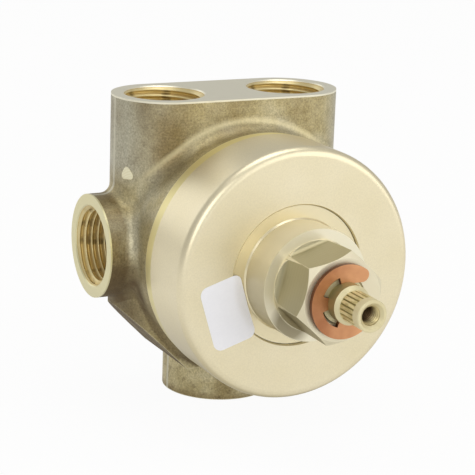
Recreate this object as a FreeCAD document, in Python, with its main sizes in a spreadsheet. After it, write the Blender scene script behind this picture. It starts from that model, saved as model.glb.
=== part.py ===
"""Five-way diverter valve: a brass body with an inlet, four outlets and discs turned by a splined spindle.

Every piece is drawn in the valve's own frame: X to the right, Y up and Z forward along the spindle, with
the origin where the spindle's axis meets the plane of the five ports. One placement then stands the valve
up, with Z as height above the inlet's mouth and the spindle pointing along -Y. Sizes are millimetres and
angles degrees.
"""
import FreeCAD, Part
import math
import os
import re
import Sketcher

SIZES = {
    # forged body
    "axis_height": 42.5,
    "top_height": 39.6,
    "top_spacing": 35.9,
    "block_depth": 27.8,
    "side_reach": 38.1,
    "side_boss_diameter": 27.4,
    "inlet_boss_diameter": 30.0,
    "underside_drop": 32.5,
    "underside_width": 31.4,
    "drum_diameter": 62.4,
    "drum_root_radius": 4.0,
    "boss_root_radius": 3.0,
    "shoulder_station": 22.4,
    "chamber_diameter": 47.0,
    "chamber_floor": 17.0,
    "neck_wall": 3.5,
    "neck_length": 10.0,
    # half-inch pipe ports and the waterways behind them
    "thread_diameter": 20.955,
    "thread_depth": 13.0,
    "mouth_chamfer": 0.4,
    "bore_cone": 3.0,
    "bore_floor_step": 0.5,
    "waterway_diameter": 10.0,
    "outlet_inset": 7.0,
    "outlet_step_deg": 60.0,
    "outlet_hole_diameter": 8.0,
    "inlet_hole_diameter": 10.0,
    # rings and their seats
    "seal_section": 1.9,
    "seal_land": 0.25,
    "seal_squeeze_gap": 0.5,
    "cap_ring_section": 1.6,
    "cap_ring_station": 27.5,
    "cap_ring_depth": 1.5,
    "bonnet_ring_section": 1.3,
    "bonnet_ring_station": 37.0,
    "spindle_ring_section": 1.5,
    "spindle_ring_first": 40.5,
    "spindle_ring_second": 48.5,
    "ring_side_gap": 0.2,
    # discs and their drive
    "disc_clearance": 1.0,
    "disc_thickness": 4.5,
    "rotor_clearance": 1.5,
    "water_film": 0.02,
    "channel_depth": 3.0,
    "pin_diameter": 3.0,
    "pin_inset": 5.5,
    "pin_spread_deg": 60.0,
    "pin_sink": 4.0,
    "pin_grip": 2.5,
    "pin_clearance": 0.05,
    "driver_diameter": 39.0,
    "driver_cam_diameter": 30.0,
    "driver_thickness": 3.5,
    "cam_overlap": 1.0,
    "dog_diameter": 4.0,
    "dog_pitch_radius": 11.0,
    "dog_length": 2.0,
    "drive_clearance": 0.15,
    "tongue_width": 8.0,
    "tongue_length": 3.0,
    # travel stop
    "spindle_travel_deg": 180.0,
    "stop_pin_diameter": 2.5,
    "stop_pin_radius": 17.4,
    "stop_pin_sink": 4.0,
    "stop_clearance": 0.3,
    # screwed cap
    "cap_diameter": 65.4,
    "cap_face_station": 43.5,
    "cap_edge_radius": 2.2,
    "cap_back_taper": 4.0,
    "cap_back_drop": 0.4,
    "cap_thread_gap": 0.15,
    "cap_end_gap": 0.3,
    # bonnet
    "flange_diameter": 36.0,
    "flange_thickness": 3.0,
    "flange_sink": 0.8,
    "flange_gap": 0.12,
    "recess_chamfer": 0.3,
    "shank_diameter": 30.0,
    "shank_gap": 0.1,
    "bonnet_boss_diameter": 28.8,
    "bonnet_boss_root": 0.4,
    "hex_back_station": 52.7,
    "hex_front_station": 65.7,
    "flat_count": 6,
    "hex_flats": 20.8,
    "hex_turn_deg": 16.4,
    "hex_back_diameter": 23.4,
    "hex_back_taper": 8.8,
    "hex_front_chamfer": 1.6,
    "flat_run_out": 1.8,
    "flat_run_out_gap": 0.2,
    "flat_cutter_radius": 1.7,
    "bore_chamfer": 0.5,
    # spindle and its clip
    "spindle_diameter": 11.4,
    "running_gap": 0.05,
    "spindle_flange_diameter": 18.0,
    "spindle_flange_thickness": 2.2,
    "washer_thickness": 1.5,
    "thrust_gap": 0.1,
    "clip_gap": 0.5,
    "clip_thickness": 1.1,
    "clip_diameter": 18.6,
    "clip_groove_diameter": 9.0,
    "clip_seat_gap": 0.05,
    "clip_window_diameter": 13.0,
    "clip_window_start_deg": 108.0,
    "clip_window_end_deg": 163.0,
    "clip_tip_radius": 1.7,
    "collar_diameter": 9.9,
    "collar_length": 2.85,
    "spline_diameter": 8.0,
    "spline_length": 8.3,
    "spline_count": 20,
    "spline_depth": 0.3,
    "spline_overrun": 0.1,
    "spline_gap_share": 0.6,
    "spline_end_gap": 2.4,
    "tip_chamfer": 0.2,
    "tip_hole_diameter": 5.0,
    "tip_hole_depth": 12.0,
    "tip_hole_point": 1.25,
    "tip_hole_chamfer": 0.7,
}

doc = FreeCAD.newDocument("diverter_valve")
sheet = doc.addObject("Spreadsheet::Sheet", "sizes")
for row, (alias, number) in enumerate(SIZES.items(), start=1):
    sheet.set(f"A{row}", alias)
    sheet.set(f"B{row}", str(number))
    sheet.setAlias(f"B{row}", alias)
doc.recompute()

# Stations along the spindle and distances from it that several pieces share, in the sheet's names.
DISC_BACK = "(chamber_floor + seal_squeeze_gap)"
ROTOR_BACK = f"({DISC_BACK} + disc_thickness + water_film)"
DRIVER_BACK = f"({ROTOR_BACK} + disc_thickness)"
DRIVER_FRONT = f"({DRIVER_BACK} + driver_thickness)"
WASHER_BACK = f"({DRIVER_FRONT} + spindle_flange_thickness)"
WASHER_FRONT = f"({WASHER_BACK} + washer_thickness)"
BONNET_BACK = f"({WASHER_FRONT} + thrust_gap)"
NECK_FRONT = "(shoulder_station + neck_length)"
CAP_INSIDE = f"({NECK_FRONT} + cap_end_gap)"
FLANGE_FRONT = "(cap_face_station - flange_sink)"
FLANGE_BACK = f"({FLANGE_FRONT} - flange_thickness)"
CLIP_BACK = "(hex_front_station + clip_gap)"
CLIP_FRONT = f"({CLIP_BACK} + clip_thickness)"
COLLAR_FRONT = f"({CLIP_FRONT} + clip_seat_gap + collar_length)"
SPLINE_BACK = f"({COLLAR_FRONT} + (collar_diameter - spline_diameter) / 2)"
SPINDLE_TIP = f"({SPLINE_BACK} + spline_length)"
SPINDLE_BORE = "(spindle_diameter / 2 + running_gap)"
NECK_RADIUS = "(chamber_diameter / 2 + neck_wall)"
OUTLET_PITCH = "(chamber_diameter / 2 - outlet_inset)"
PIN_PITCH = "(chamber_diameter / 2 - pin_inset)"
OUTLET_RING_RADIUS = "(outlet_hole_diameter / 2 + seal_land + seal_section / 2)"
INLET_RING_RADIUS = "(inlet_hole_diameter / 2 + seal_land + seal_section / 2)"

# The four outlets, counter-clockwise from the right as seen from the front, counted in outlet steps.
OUTLETS = {"right": 0, "top_right": 1, "top_left": 2, "left": 3}
# Two places closer than this count as one when edges are picked for rounding.
TOUCH = 0.001
# The axes that a sketch can be turned about: its own normal, and its own upright.
FACING = FreeCAD.Vector(0, 0, 1)
UPRIGHT = FreeCAD.Vector(0, 1, 0)
SUB_PARTS = []


def formula(text):
    """Points each size name of an expression at its cell."""
    def cell(match):
        word = match.group()
        return f"sizes.{word}" if word in SIZES else word
    return re.sub(r"[a-z_]+", cell, str(text))


def value(text):
    """The present value of an expression, as a number."""
    result = sheet.evalExpression(formula(text))
    return float(getattr(result, "Value", result))


def bind(item, path, text):
    item.setExpression(path, formula(text))


def stand_up(item):
    """Turns a piece from the valve's own frame into the standing frame."""
    item.Placement = FreeCAD.Placement(
        FreeCAD.Vector(0, 0, value("axis_height")), FreeCAD.Rotation(FreeCAD.Vector(1, 0, 0), 90))
    bind(item, "Placement.Base.z", "axis_height")


def new_body(label):
    body = doc.addObject("PartDesign::Body", label)
    body.Label = label
    stand_up(body)
    SUB_PARTS.append(body)
    return body


def new_sketch(body, plane, name, x="0", y="0", station="0", turn="0", about=FACING):
    """A sketch on one of the body's own planes, moved by x, y and along its normal, and turned."""
    sketch = body.newObject("Sketcher::SketchObject", f"{body.Name}_{name}")
    origin_plane = [item for item in body.Origin.OriginFeatures if item.Role == plane][0]
    sketch.AttachmentSupport = [(origin_plane, "")]
    sketch.MapMode = "FlatFace"
    sketch.AttachmentOffset = FreeCAD.Placement(
        FreeCAD.Vector(value(x), value(y), value(station)),
        FreeCAD.Rotation(about, value(turn)))
    bind(sketch, "AttachmentOffset.Base.x", x)
    bind(sketch, "AttachmentOffset.Base.y", y)
    bind(sketch, "AttachmentOffset.Base.z", station)
    bind(sketch, "AttachmentOffset.Rotation.Angle", turn)
    return sketch


def hold(sketch, constraint, text):
    """Adds a dimension to a sketch and ties it to an expression."""
    index = sketch.addConstraint(constraint)
    bind(sketch, f"Constraints[{index}]", text)


def hold_point(sketch, edge, end, x, y):
    hold(sketch, Sketcher.Constraint("DistanceX", -1, 1, edge, end, value(x)), x)
    hold(sketch, Sketcher.Constraint("DistanceY", -1, 1, edge, end, value(y)), y)


def draw_outline(sketch, points):
    """A closed outline of straight edges through points given as pairs of expressions."""
    places = [FreeCAD.Vector(value(x), value(y), 0) for x, y in points]
    edges = []
    for start, end in zip(places, places[1:] + places[:1]):
        edges.append(sketch.addGeometry(Part.LineSegment(start, end), False))
    for edge, following in zip(edges, edges[1:] + edges[:1]):
        sketch.addConstraint(Sketcher.Constraint("Coincident", edge, 2, following, 1))
    for edge, (x, y) in zip(edges, points):
        hold_point(sketch, edge, 1, x, y)


def draw_milled_flat(sketch, points, radius):
    """An outline of straight edges through points, closed by the arc of a round cutter back to the first."""
    places = [FreeCAD.Vector(value(x), value(y), 0) for x, y in points]
    edges = []
    for start, end in zip(places, places[1:]):
        edges.append(sketch.addGeometry(Part.LineSegment(start, end), False))
    for edge, following in zip(edges, edges[1:]):
        sketch.addConstraint(Sketcher.Constraint("Coincident", edge, 2, following, 1))
    for edge, (x, y) in zip(edges, points):
        hold_point(sketch, edge, 1, x, y)
    hold_point(sketch, edges[-1], 2, *points[-1])
    reach = value(radius)
    centre = places[0] + FreeCAD.Vector(reach, 0, 0)
    turn = math.asin((places[0].y - places[-1].y) / reach)
    circle = Part.Circle(centre, FreeCAD.Vector(0, 0, 1), reach)
    arc = sketch.addGeometry(Part.ArcOfCircle(circle, math.pi, math.pi + turn), False)
    sketch.addConstraint(Sketcher.Constraint("Coincident", arc, 1, edges[0], 1))
    sketch.addConstraint(Sketcher.Constraint("Coincident", arc, 2, edges[-1], 2))
    hold(sketch, Sketcher.Constraint("Radius", arc, reach), radius)


def draw_circle(sketch, radius, x="0", y="0"):
    centre = FreeCAD.Vector(value(x), value(y), 0)
    edge = sketch.addGeometry(Part.Circle(centre, FreeCAD.Vector(0, 0, 1), value(radius)), False)
    hold_point(sketch, edge, 3, x, y)
    hold(sketch, Sketcher.Constraint("Radius", edge, value(radius)), radius)


def draw_square(sketch, reach):
    """A square about the sketch's origin, from its half width."""
    minus = f"-{reach}"
    draw_outline(sketch, [(minus, minus), (reach, minus), (reach, reach), (minus, reach)])


def draw_sector(sketch, inner, outer, start, end):
    """A piece of a flat ring about the sketch's origin, between two angles."""
    low, high = math.radians(value(start)), math.radians(value(end))
    up = FreeCAD.Vector(0, 0, 1)
    centre = FreeCAD.Vector(0, 0, 0)
    arcs = []
    for radius in (inner, outer):
        circle = Part.Circle(centre, up, value(radius))
        arc = sketch.addGeometry(Part.ArcOfCircle(circle, low, high), False)
        sketch.addConstraint(Sketcher.Constraint("Coincident", arc, 3, -1, 1))
        hold(sketch, Sketcher.Constraint("Radius", arc, value(radius)), radius)
        arcs.append(arc)
    for point, angle in ((1, start), (2, end)):
        places = [FreeCAD.Vector(value(f"{radius} * cos({angle})"), value(f"{radius} * sin({angle})"), 0)
                  for radius in (inner, outer)]
        side = sketch.addGeometry(Part.LineSegment(*places), False)
        for own_end, arc in zip((1, 2), arcs):
            sketch.addConstraint(Sketcher.Constraint("Coincident", side, own_end, arc, point))
        sketch.addConstraint(Sketcher.Constraint("PointOnObject", -1, 1, side))
        hold(sketch, Sketcher.Constraint("Angle", side, math.radians(value(angle))), angle)


def extrude(body, kind, sketch, length, reverse=False, both_sides=False):
    """A Pad or Pocket of a sketch."""
    feature = body.newObject(f"PartDesign::{kind}", f"{sketch.Name}_{kind}")
    feature.Profile = sketch
    feature.Length = value(length)
    bind(feature, "Length", length)
    feature.Reversed = reverse
    if both_sides:
        feature.SideType = "Symmetric"
    sketch.Visibility = False
    doc.recompute()
    return feature


def spin(body, kind, sketch):
    """A full Revolution or Groove of a sketch about its own upright axis."""
    feature = body.newObject(f"PartDesign::{kind}", f"{sketch.Name}_{kind}")
    feature.Profile = sketch
    feature.ReferenceAxis = (sketch, ["V_Axis"])
    feature.Angle = 360
    sketch.Visibility = False
    doc.recompute()
    return feature


def turned(label, points):
    """A turned piece: its half section as (radius, station) pairs, spun about the spindle's axis."""
    body = new_body(label)
    sketch = new_sketch(body, "XZ_Plane", "section")
    draw_outline(sketch, points)
    spin(body, "Revolution", sketch)
    return body


def ring(label, radius, section, station, x="0", y="0"):
    """A rubber ring of round section about an axis along the spindle."""
    torus = doc.addObject("Part::Torus", label)
    torus.Label = label
    bind(torus, "Radius1", radius)
    bind(torus, "Radius2", f"{section} / 2")
    spot = FreeCAD.Vector(value(x), -value(station), value("axis_height") + value(y))
    torus.Placement = FreeCAD.Placement(spot, FreeCAD.Rotation(FreeCAD.Vector(1, 0, 0), 90))
    bind(torus, "Placement.Base.x", x)
    bind(torus, "Placement.Base.y", f"-({station})")
    bind(torus, "Placement.Base.z", f"axis_height + {y}")
    SUB_PARTS.append(torus)


def round_edges(body, base, name, radius, chosen):
    """Rounds those edges of a feature that the given test picks, by three points along each."""
    names = []
    for number, edge in enumerate(base.Shape.Edges, start=1):
        length = edge.LastParameter - edge.FirstParameter
        points = [edge.valueAt(edge.FirstParameter + share * length) for share in (0.1, 0.5, 0.9)]
        if chosen(edge, points):
            names.append(f"Edge{number}")
    fillet = body.newObject("PartDesign::Fillet", f"{body.Name}_{name}")
    fillet.Base = (base, names)
    fillet.Radius = value(radius)
    bind(fillet, "Radius", radius)
    doc.recompute()
    return fillet


def repeat_round(body, feature, count):
    """Repeats a feature evenly round the spindle's axis."""
    pattern = body.newObject("PartDesign::PolarPattern", f"{feature.Name}_round")
    pattern.Originals = [feature]
    pattern.Axis = ([item for item in body.Origin.OriginFeatures if item.Role == "Z_Axis"][0], [""])
    pattern.Angle = 360
    pattern.Occurrences = int(value(count))
    bind(pattern, "Occurrences", count)
    body.Tip = pattern
    doc.recompute()


def outlet_place(number):
    angle = f"({number} * outlet_step_deg)"
    return f"{OUTLET_PITCH} * cos({angle})", f"{OUTLET_PITCH} * sin({angle})"


def pin_place(side):
    angle = f"(270 + {side} * pin_spread_deg / 2)"
    return f"{PIN_PITCH} * cos({angle})", f"{PIN_PITCH} * sin({angle})"


def build_valve_body():
    """The forging: a two-port block on a drum, with side bosses, an inlet boss and its machined bores."""
    body = new_body("valve_body")

    # The block is a pill shape in plan, drawn at the top face and padded down to the underside.
    plan = new_sketch(body, "XZ_Plane", "plan", station="-top_height")
    half_depth, half_spacing = "block_depth / 2", "top_spacing / 2"
    ends = []
    for side in (1, -1):
        centre = FreeCAD.Vector(side * value(half_spacing), 0, 0)
        circle = Part.Circle(centre, FreeCAD.Vector(0, 0, 1), value(half_depth))
        first = -math.pi / 2 if side > 0 else math.pi / 2
        arc = plan.addGeometry(Part.ArcOfCircle(circle, first, first + math.pi), False)
        hold_point(plan, arc, 3, f"{side} * {half_spacing}", "0")
        hold(plan, Sketcher.Constraint("Radius", arc, value(half_depth)), half_depth)
        for end in (1, 2):
            plan.addConstraint(Sketcher.Constraint("Vertical", arc, end, arc, 3))
        ends.append(arc)
    for here, there in (ends, ends[::-1]):
        line = plan.addGeometry(Part.LineSegment(plan.getPoint(here, 2), plan.getPoint(there, 1)), False)
        plan.addConstraint(Sketcher.Constraint("Coincident", line, 1, here, 2))
        plan.addConstraint(Sketcher.Constraint("Coincident", line, 2, there, 1))
    block = extrude(body, "Pad", plan, "top_height + underside_drop")

    # Two slanting flanks lead from the block's sides down to the inlet.
    flanks = new_sketch(body, "XY_Plane", "flanks")
    run = "top_spacing"
    for side in (1, -1):
        inner = f"{side} * underside_width / 2"
        outer = f"{side} * (underside_width / 2 + {run})"
        draw_outline(flanks, [(inner, "-underside_drop"), (outer, "-underside_drop"),
                              (outer, f"{run} - underside_drop")])
    extrude(body, "Pocket", flanks, "2 * block_depth", both_sides=True)

    drum_face = new_sketch(body, "XY_Plane", "drum")
    draw_circle(drum_face, "drum_diameter / 2")
    drum = extrude(body, "Pad", drum_face, "shoulder_station")
    drum_radius = value("drum_diameter / 2")

    def at_drum_root(edge, points):
        on_drum = all(abs(math.hypot(p.x, p.y) - drum_radius) < TOUCH for p in points)
        return on_drum and edge.Curve.TypeId != "Part::GeomLine" and max(p.z for p in points) < block_front

    block_front = value(half_depth) + TOUCH
    drum_root = round_edges(body, drum, "drum_root", "drum_root_radius", at_drum_root)

    side_face = new_sketch(body, "YZ_Plane", "side_bosses")
    draw_circle(side_face, "side_boss_diameter / 2")
    bosses = extrude(body, "Pad", side_face, "2 * side_reach", both_sides=True)
    boss_radius = value("side_boss_diameter / 2")
    mouth = value("side_reach") - TOUCH

    def at_boss_root(edge, points):
        on_boss = all(abs(math.hypot(p.y, p.z) - boss_radius) < TOUCH for p in points)
        return on_boss and edge.Curve.TypeId != "Part::GeomLine" and max(abs(p.x) for p in points) < mouth

    round_edges(body, bosses, "boss_root", "boss_root_radius", at_boss_root)

    inlet_face = new_sketch(body, "XZ_Plane", "inlet_boss", station="axis_height")
    draw_circle(inlet_face, "inlet_boss_diameter / 2")
    extrude(body, "Pad", inlet_face, "axis_height - underside_drop", reverse=True)

    neck_face = new_sketch(body, "XY_Plane", "neck", station="shoulder_station")
    draw_circle(neck_face, NECK_RADIUS)
    extrude(body, "Pad", neck_face, "neck_length")

    chamber = new_sketch(body, "XY_Plane", "chamber", station=NECK_FRONT)
    draw_circle(chamber, "chamber_diameter / 2")
    extrude(body, "Pocket", chamber, f"{NECK_FRONT} - chamber_floor")

    ring_seat = new_sketch(body, "XZ_Plane", "cap_ring_seat")
    half_width = "(cap_ring_section / 2 + ring_side_gap)"
    low, high = f"cap_ring_station - {half_width}", f"cap_ring_station + {half_width}"
    floor = f"{NECK_RADIUS} - cap_ring_depth"
    draw_outline(ring_seat, [(floor, low), (NECK_RADIUS, low), (NECK_RADIUS, high), (floor, high)])
    spin(body, "Groove", ring_seat)

    # Each port: mouth chamfer, thread bore, drill cone and the straight waterway behind it.
    side_depth = f"side_reach - {OUTLET_PITCH} + outlet_hole_diameter / 2 + bore_floor_step"
    top_depth = "thread_depth + bore_cone + bore_floor_step"
    ports = [
        ("left_port", "-side_reach", "0", -90, side_depth),
        ("right_port", "side_reach", "0", 90, side_depth),
        ("top_left_port", "-top_spacing / 2", "top_height", 180, top_depth),
        ("top_right_port", "top_spacing / 2", "top_height", 180, top_depth),
        ("inlet_port", "0", "-axis_height", 0, "axis_height + inlet_hole_diameter / 2 + bore_floor_step"),
    ]
    for name, x, y, turn, depth in ports:
        port = new_sketch(body, "XY_Plane", name, x=x, y=y, turn=turn)
        thread, waterway = "thread_diameter / 2", "waterway_diameter / 2"
        draw_outline(port, [("0", "0"), (f"{thread} + mouth_chamfer", "0"), (thread, "mouth_chamfer"),
                            (thread, "thread_depth"), (waterway, "thread_depth + bore_cone"),
                            (waterway, depth), ("0", depth)])
        spin(body, "Groove", port)

    # A slanting waterway runs from each top bore's floor to its outlet hole.
    across = f"(top_spacing / 2 - {OUTLET_PITCH} * cos(outlet_step_deg))"
    down = f"(top_height - thread_depth - {OUTLET_PITCH} * sin(outlet_step_deg))"
    for side, name in ((1, "right_slant"), (-1, "left_slant")):
        turn = f"{side} * (180 deg - atan({across} / {down}))"
        slant = new_sketch(body, "XY_Plane", name, x=f"{side} * top_spacing / 2",
                           y="top_height - thread_depth", turn=turn)
        length = f"sqrt({across} * {across} + {down} * {down})"
        draw_outline(slant, [("0", "0"), ("waterway_diameter / 2", "0"), ("waterway_diameter / 2", length),
                             ("0", length)])
        spin(body, "Groove", slant)

    holes = new_sketch(body, "XY_Plane", "floor_holes", station="chamber_floor")
    seats = new_sketch(body, "XY_Plane", "seal_seats", station="chamber_floor")
    side_gap = "seal_section / 2 + ring_side_gap / 2"
    draw_circle(holes, "inlet_hole_diameter / 2")
    draw_circle(seats, f"{INLET_RING_RADIUS} + {side_gap}")
    for number in OUTLETS.values():
        x, y = outlet_place(number)
        draw_circle(holes, "outlet_hole_diameter / 2", x, y)
        draw_circle(seats, f"{OUTLET_RING_RADIUS} + {side_gap}", x, y)
    extrude(body, "Pocket", holes, "chamber_floor")
    extrude(body, "Pocket", seats, "seal_section - seal_squeeze_gap")

    pin_holes = new_sketch(body, "XY_Plane", "pin_holes", station="chamber_floor")
    for side in (1, -1):
        draw_circle(pin_holes, "pin_diameter / 2 + pin_clearance", *pin_place(side))
    extrude(body, "Pocket", pin_holes, "pin_sink")


def build_seals():
    """Rubber rings: one round each floor hole, one on the neck, one on the bonnet, two on the spindle."""
    station = f"({DISC_BACK} - seal_section / 2)"
    ring("inlet_seal", INLET_RING_RADIUS, "seal_section", station)
    for name, number in OUTLETS.items():
        x, y = outlet_place(number)
        ring(f"outlet_seal_{name}", OUTLET_RING_RADIUS, "seal_section", station, x, y)
    ring("cap_ring", f"{NECK_RADIUS} - cap_ring_depth + cap_ring_section / 2", "cap_ring_section",
         "cap_ring_station")
    ring("bonnet_ring", "shank_diameter / 2 - bonnet_ring_section / 2", "bonnet_ring_section",
         "bonnet_ring_station")
    for name in ("spindle_ring_first", "spindle_ring_second"):
        ring(name, "spindle_diameter / 2 - spindle_ring_section / 2", "spindle_ring_section", name)


def build_fixed_disc():
    """The ceramic disc that stands still on the seals, with a hole for the inlet and one per outlet."""
    body = new_body("fixed_disc")
    face = new_sketch(body, "XY_Plane", "face", station=DISC_BACK)
    draw_circle(face, "chamber_diameter / 2 - disc_clearance")
    draw_circle(face, "inlet_hole_diameter / 2")
    for number in OUTLETS.values():
        draw_circle(face, "outlet_hole_diameter / 2", *outlet_place(number))
    extrude(body, "Pad", face, "disc_thickness")
    pin_holes = new_sketch(body, "XY_Plane", "pin_holes", station=DISC_BACK)
    for side in (1, -1):
        draw_circle(pin_holes, "pin_diameter / 2 + pin_clearance", *pin_place(side))
    extrude(body, "Pocket", pin_holes, "pin_grip + pin_clearance", reverse=True)


def build_disc_pins():
    """Two steel pins that keep the fixed disc from turning, set in the chamber's floor."""
    pins = []
    for side, name in ((1, "right"), (-1, "left")):
        x, y = pin_place(side)
        pin = doc.addObject("Part::Cylinder", f"{name}_disc_pin")
        bind(pin, "Radius", "pin_diameter / 2")
        bind(pin, "Height", "pin_sink + seal_squeeze_gap + pin_grip")
        bind(pin, "Placement.Base.x", x)
        bind(pin, "Placement.Base.y", y)
        bind(pin, "Placement.Base.z", "chamber_floor - pin_sink")
        pins.append(pin)
    group = doc.addObject("Part::Compound", "disc_pins")
    group.Label = "disc_pins"
    group.Links = pins
    stand_up(group)
    SUB_PARTS.append(group)


def build_rotor_disc():
    """The ceramic disc that turns, with a blind channel in its back from the inlet to one outlet."""
    body = new_body("rotor_disc")
    face = new_sketch(body, "XY_Plane", "face", station=ROTOR_BACK)
    draw_circle(face, "chamber_diameter / 2 - rotor_clearance")
    extrude(body, "Pad", face, "disc_thickness")
    channel = new_sketch(body, "XY_Plane", "channel", station=ROTOR_BACK)
    reach, half_width = OUTLET_PITCH, "outlet_hole_diameter / 2"
    draw_outline(channel, [("0", f"-{half_width}"), (reach, f"-{half_width}"),
                           (reach, half_width), ("0", half_width)])
    extrude(body, "Pocket", channel, "channel_depth", reverse=True)
    ends = {"channel_middle": ("0", "inlet_hole_diameter / 2"), "channel_end": (reach, half_width)}
    for name, (x, radius) in ends.items():
        end = new_sketch(body, "XY_Plane", name, station=ROTOR_BACK)
        draw_circle(end, radius, x)
        extrude(body, "Pocket", end, "channel_depth", reverse=True)
    sockets = new_sketch(body, "XY_Plane", "dog_sockets", station=DRIVER_BACK)
    for side in (1, -1):
        draw_circle(sockets, "dog_diameter / 2 + drive_clearance", "0", f"{side} * dog_pitch_radius")
    extrude(body, "Pocket", sockets, "dog_length + drive_clearance")


def build_disc_driver():
    """The moulded driver: two dogs for the rotor disc, a square socket for the spindle and a stop cam."""
    body = new_body("disc_driver")
    hub = new_sketch(body, "XY_Plane", "hub", station=DRIVER_BACK)
    draw_circle(hub, "driver_cam_diameter / 2")
    extrude(body, "Pad", hub, "driver_thickness")
    # The cam stands proud over the angles that the stop pin never reaches.
    cam = new_sketch(body, "XY_Plane", "cam", station=DRIVER_BACK)
    pin_half_angle = "asin((stop_pin_diameter / 2 + stop_clearance) / stop_pin_radius)"
    half_cam = f"(180 deg - spindle_travel_deg * 0.5 deg - {pin_half_angle})"
    draw_sector(cam, "(driver_cam_diameter / 2 - cam_overlap)", "(driver_diameter / 2)",
                f"(-{half_cam})", half_cam)
    extrude(body, "Pad", cam, "driver_thickness")
    dogs = new_sketch(body, "XY_Plane", "dogs", station=DRIVER_BACK)
    for side in (1, -1):
        draw_circle(dogs, "dog_diameter / 2", "0", f"{side} * dog_pitch_radius")
    extrude(body, "Pad", dogs, "dog_length", reverse=True)
    socket = new_sketch(body, "XY_Plane", "socket", station=DRIVER_FRONT)
    reach = "(tongue_width / 2 + drive_clearance)"
    draw_square(socket, reach)
    extrude(body, "Pocket", socket, "driver_thickness")


def build_stop_pin():
    """The pin in the cap's inner wall that the driver's cam meets at both ends of its travel."""
    pin = doc.addObject("Part::Cylinder", "stop_pin")
    pin.Label = "stop_pin"
    end = f"({DRIVER_BACK} + stop_clearance)"
    bind(pin, "Radius", "stop_pin_diameter / 2")
    bind(pin, "Height", f"{CAP_INSIDE} + stop_pin_sink - {end}")
    stand_up(pin)
    pin.Placement.Base = FreeCAD.Vector(0, -value(end), value("axis_height - stop_pin_radius"))
    bind(pin, "Placement.Base.y", f"-{end}")
    bind(pin, "Placement.Base.z", "axis_height - stop_pin_radius")
    SUB_PARTS.append(pin)


def build_front_cap():
    """The big turned cap: a cup screwed over the neck, with a soft rim and a recess for the bonnet."""
    inside = f"{NECK_RADIUS} + cap_thread_gap"
    hole = "shank_diameter / 2 + shank_gap"
    recess = "flange_diameter / 2 + flange_gap"
    outside = "cap_diameter / 2"
    body = turned("front_cap", [
        (hole, CAP_INSIDE), (inside, CAP_INSIDE), (inside, "shoulder_station"),
        (f"{outside} - cap_back_drop", "shoulder_station"),
        (outside, "shoulder_station + cap_back_taper"), (outside, "cap_face_station"),
        (f"{recess} + recess_chamfer", "cap_face_station"), (recess, "cap_face_station - recess_chamfer"),
        (recess, FLANGE_BACK), (hole, FLANGE_BACK)])
    rim_radius, face = value(outside), value("cap_face_station")

    def at_front_rim(edge, points):
        on_side = all(abs(math.hypot(p.x, p.y) - rim_radius) < TOUCH for p in points)
        return on_side and all(abs(p.z - face) < TOUCH for p in points)

    round_edges(body, body.Tip, "front_rim", "cap_edge_radius", at_front_rim)
    pin_hole = new_sketch(body, "XY_Plane", "pin_hole", station=CAP_INSIDE)
    draw_circle(pin_hole, "stop_pin_diameter / 2 + pin_clearance", "0", "-stop_pin_radius")
    extrude(body, "Pocket", pin_hole, "stop_pin_sink + pin_clearance", reverse=True)


def build_bonnet():
    """The bonnet: a flanged guide for the spindle, with a round boss and a milled hexagon."""
    shank, boss = "shank_diameter / 2", "bonnet_boss_diameter / 2"
    corner = "(hex_flats / 2 / cos(180 / flat_count))"
    half_seat = "(bonnet_ring_section / 2 + ring_side_gap)"
    seat_low, seat_high = f"bonnet_ring_station - {half_seat}", f"bonnet_ring_station + {half_seat}"
    seat = f"{shank} - bonnet_ring_section"
    body = turned("bonnet", [
        (SPINDLE_BORE, BONNET_BACK), (shank, BONNET_BACK), (shank, seat_low), (seat, seat_low),
        (seat, seat_high), (shank, seat_high), (shank, FLANGE_BACK), ("flange_diameter / 2", FLANGE_BACK),
        ("flange_diameter / 2", FLANGE_FRONT), (f"{boss} + bonnet_boss_root", FLANGE_FRONT),
        (boss, f"{FLANGE_FRONT} + bonnet_boss_root"), (boss, "hex_back_station"),
        ("hex_back_diameter / 2", "hex_back_station"), (corner, "hex_back_station + hex_back_taper"),
        (corner, "hex_front_station - hex_front_chamfer"), ("hex_flats / 2", "hex_front_station"),
        (f"{SPINDLE_BORE} + bore_chamfer", "hex_front_station"),
        (SPINDLE_BORE, "hex_front_station - bore_chamfer")])
    # One flat is milled from the front and runs out in the cutter's arc, then it is repeated round the axis.
    flat = new_sketch(body, "XZ_Plane", "flat", turn="hex_turn_deg + 180 / flat_count", about=UPRIGHT)
    depth, lead_in = "hex_flats / 2", "hex_front_station + hex_front_chamfer"
    start, end = "hex_back_station + flat_run_out", "hex_back_station + flat_run_out_gap"
    rise = "(flat_run_out - flat_run_out_gap)"
    lift = f"{depth} + flat_cutter_radius - sqrt(flat_cutter_radius * flat_cutter_radius - {rise} * {rise})"
    draw_milled_flat(flat, [(depth, start), (depth, lead_in), (boss, lead_in), (boss, end), (lift, end)],
                     "flat_cutter_radius")
    milled = extrude(body, "Pocket", flat, f"2 * {boss}", both_sides=True)
    repeat_round(body, milled, "flat_count")


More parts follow.
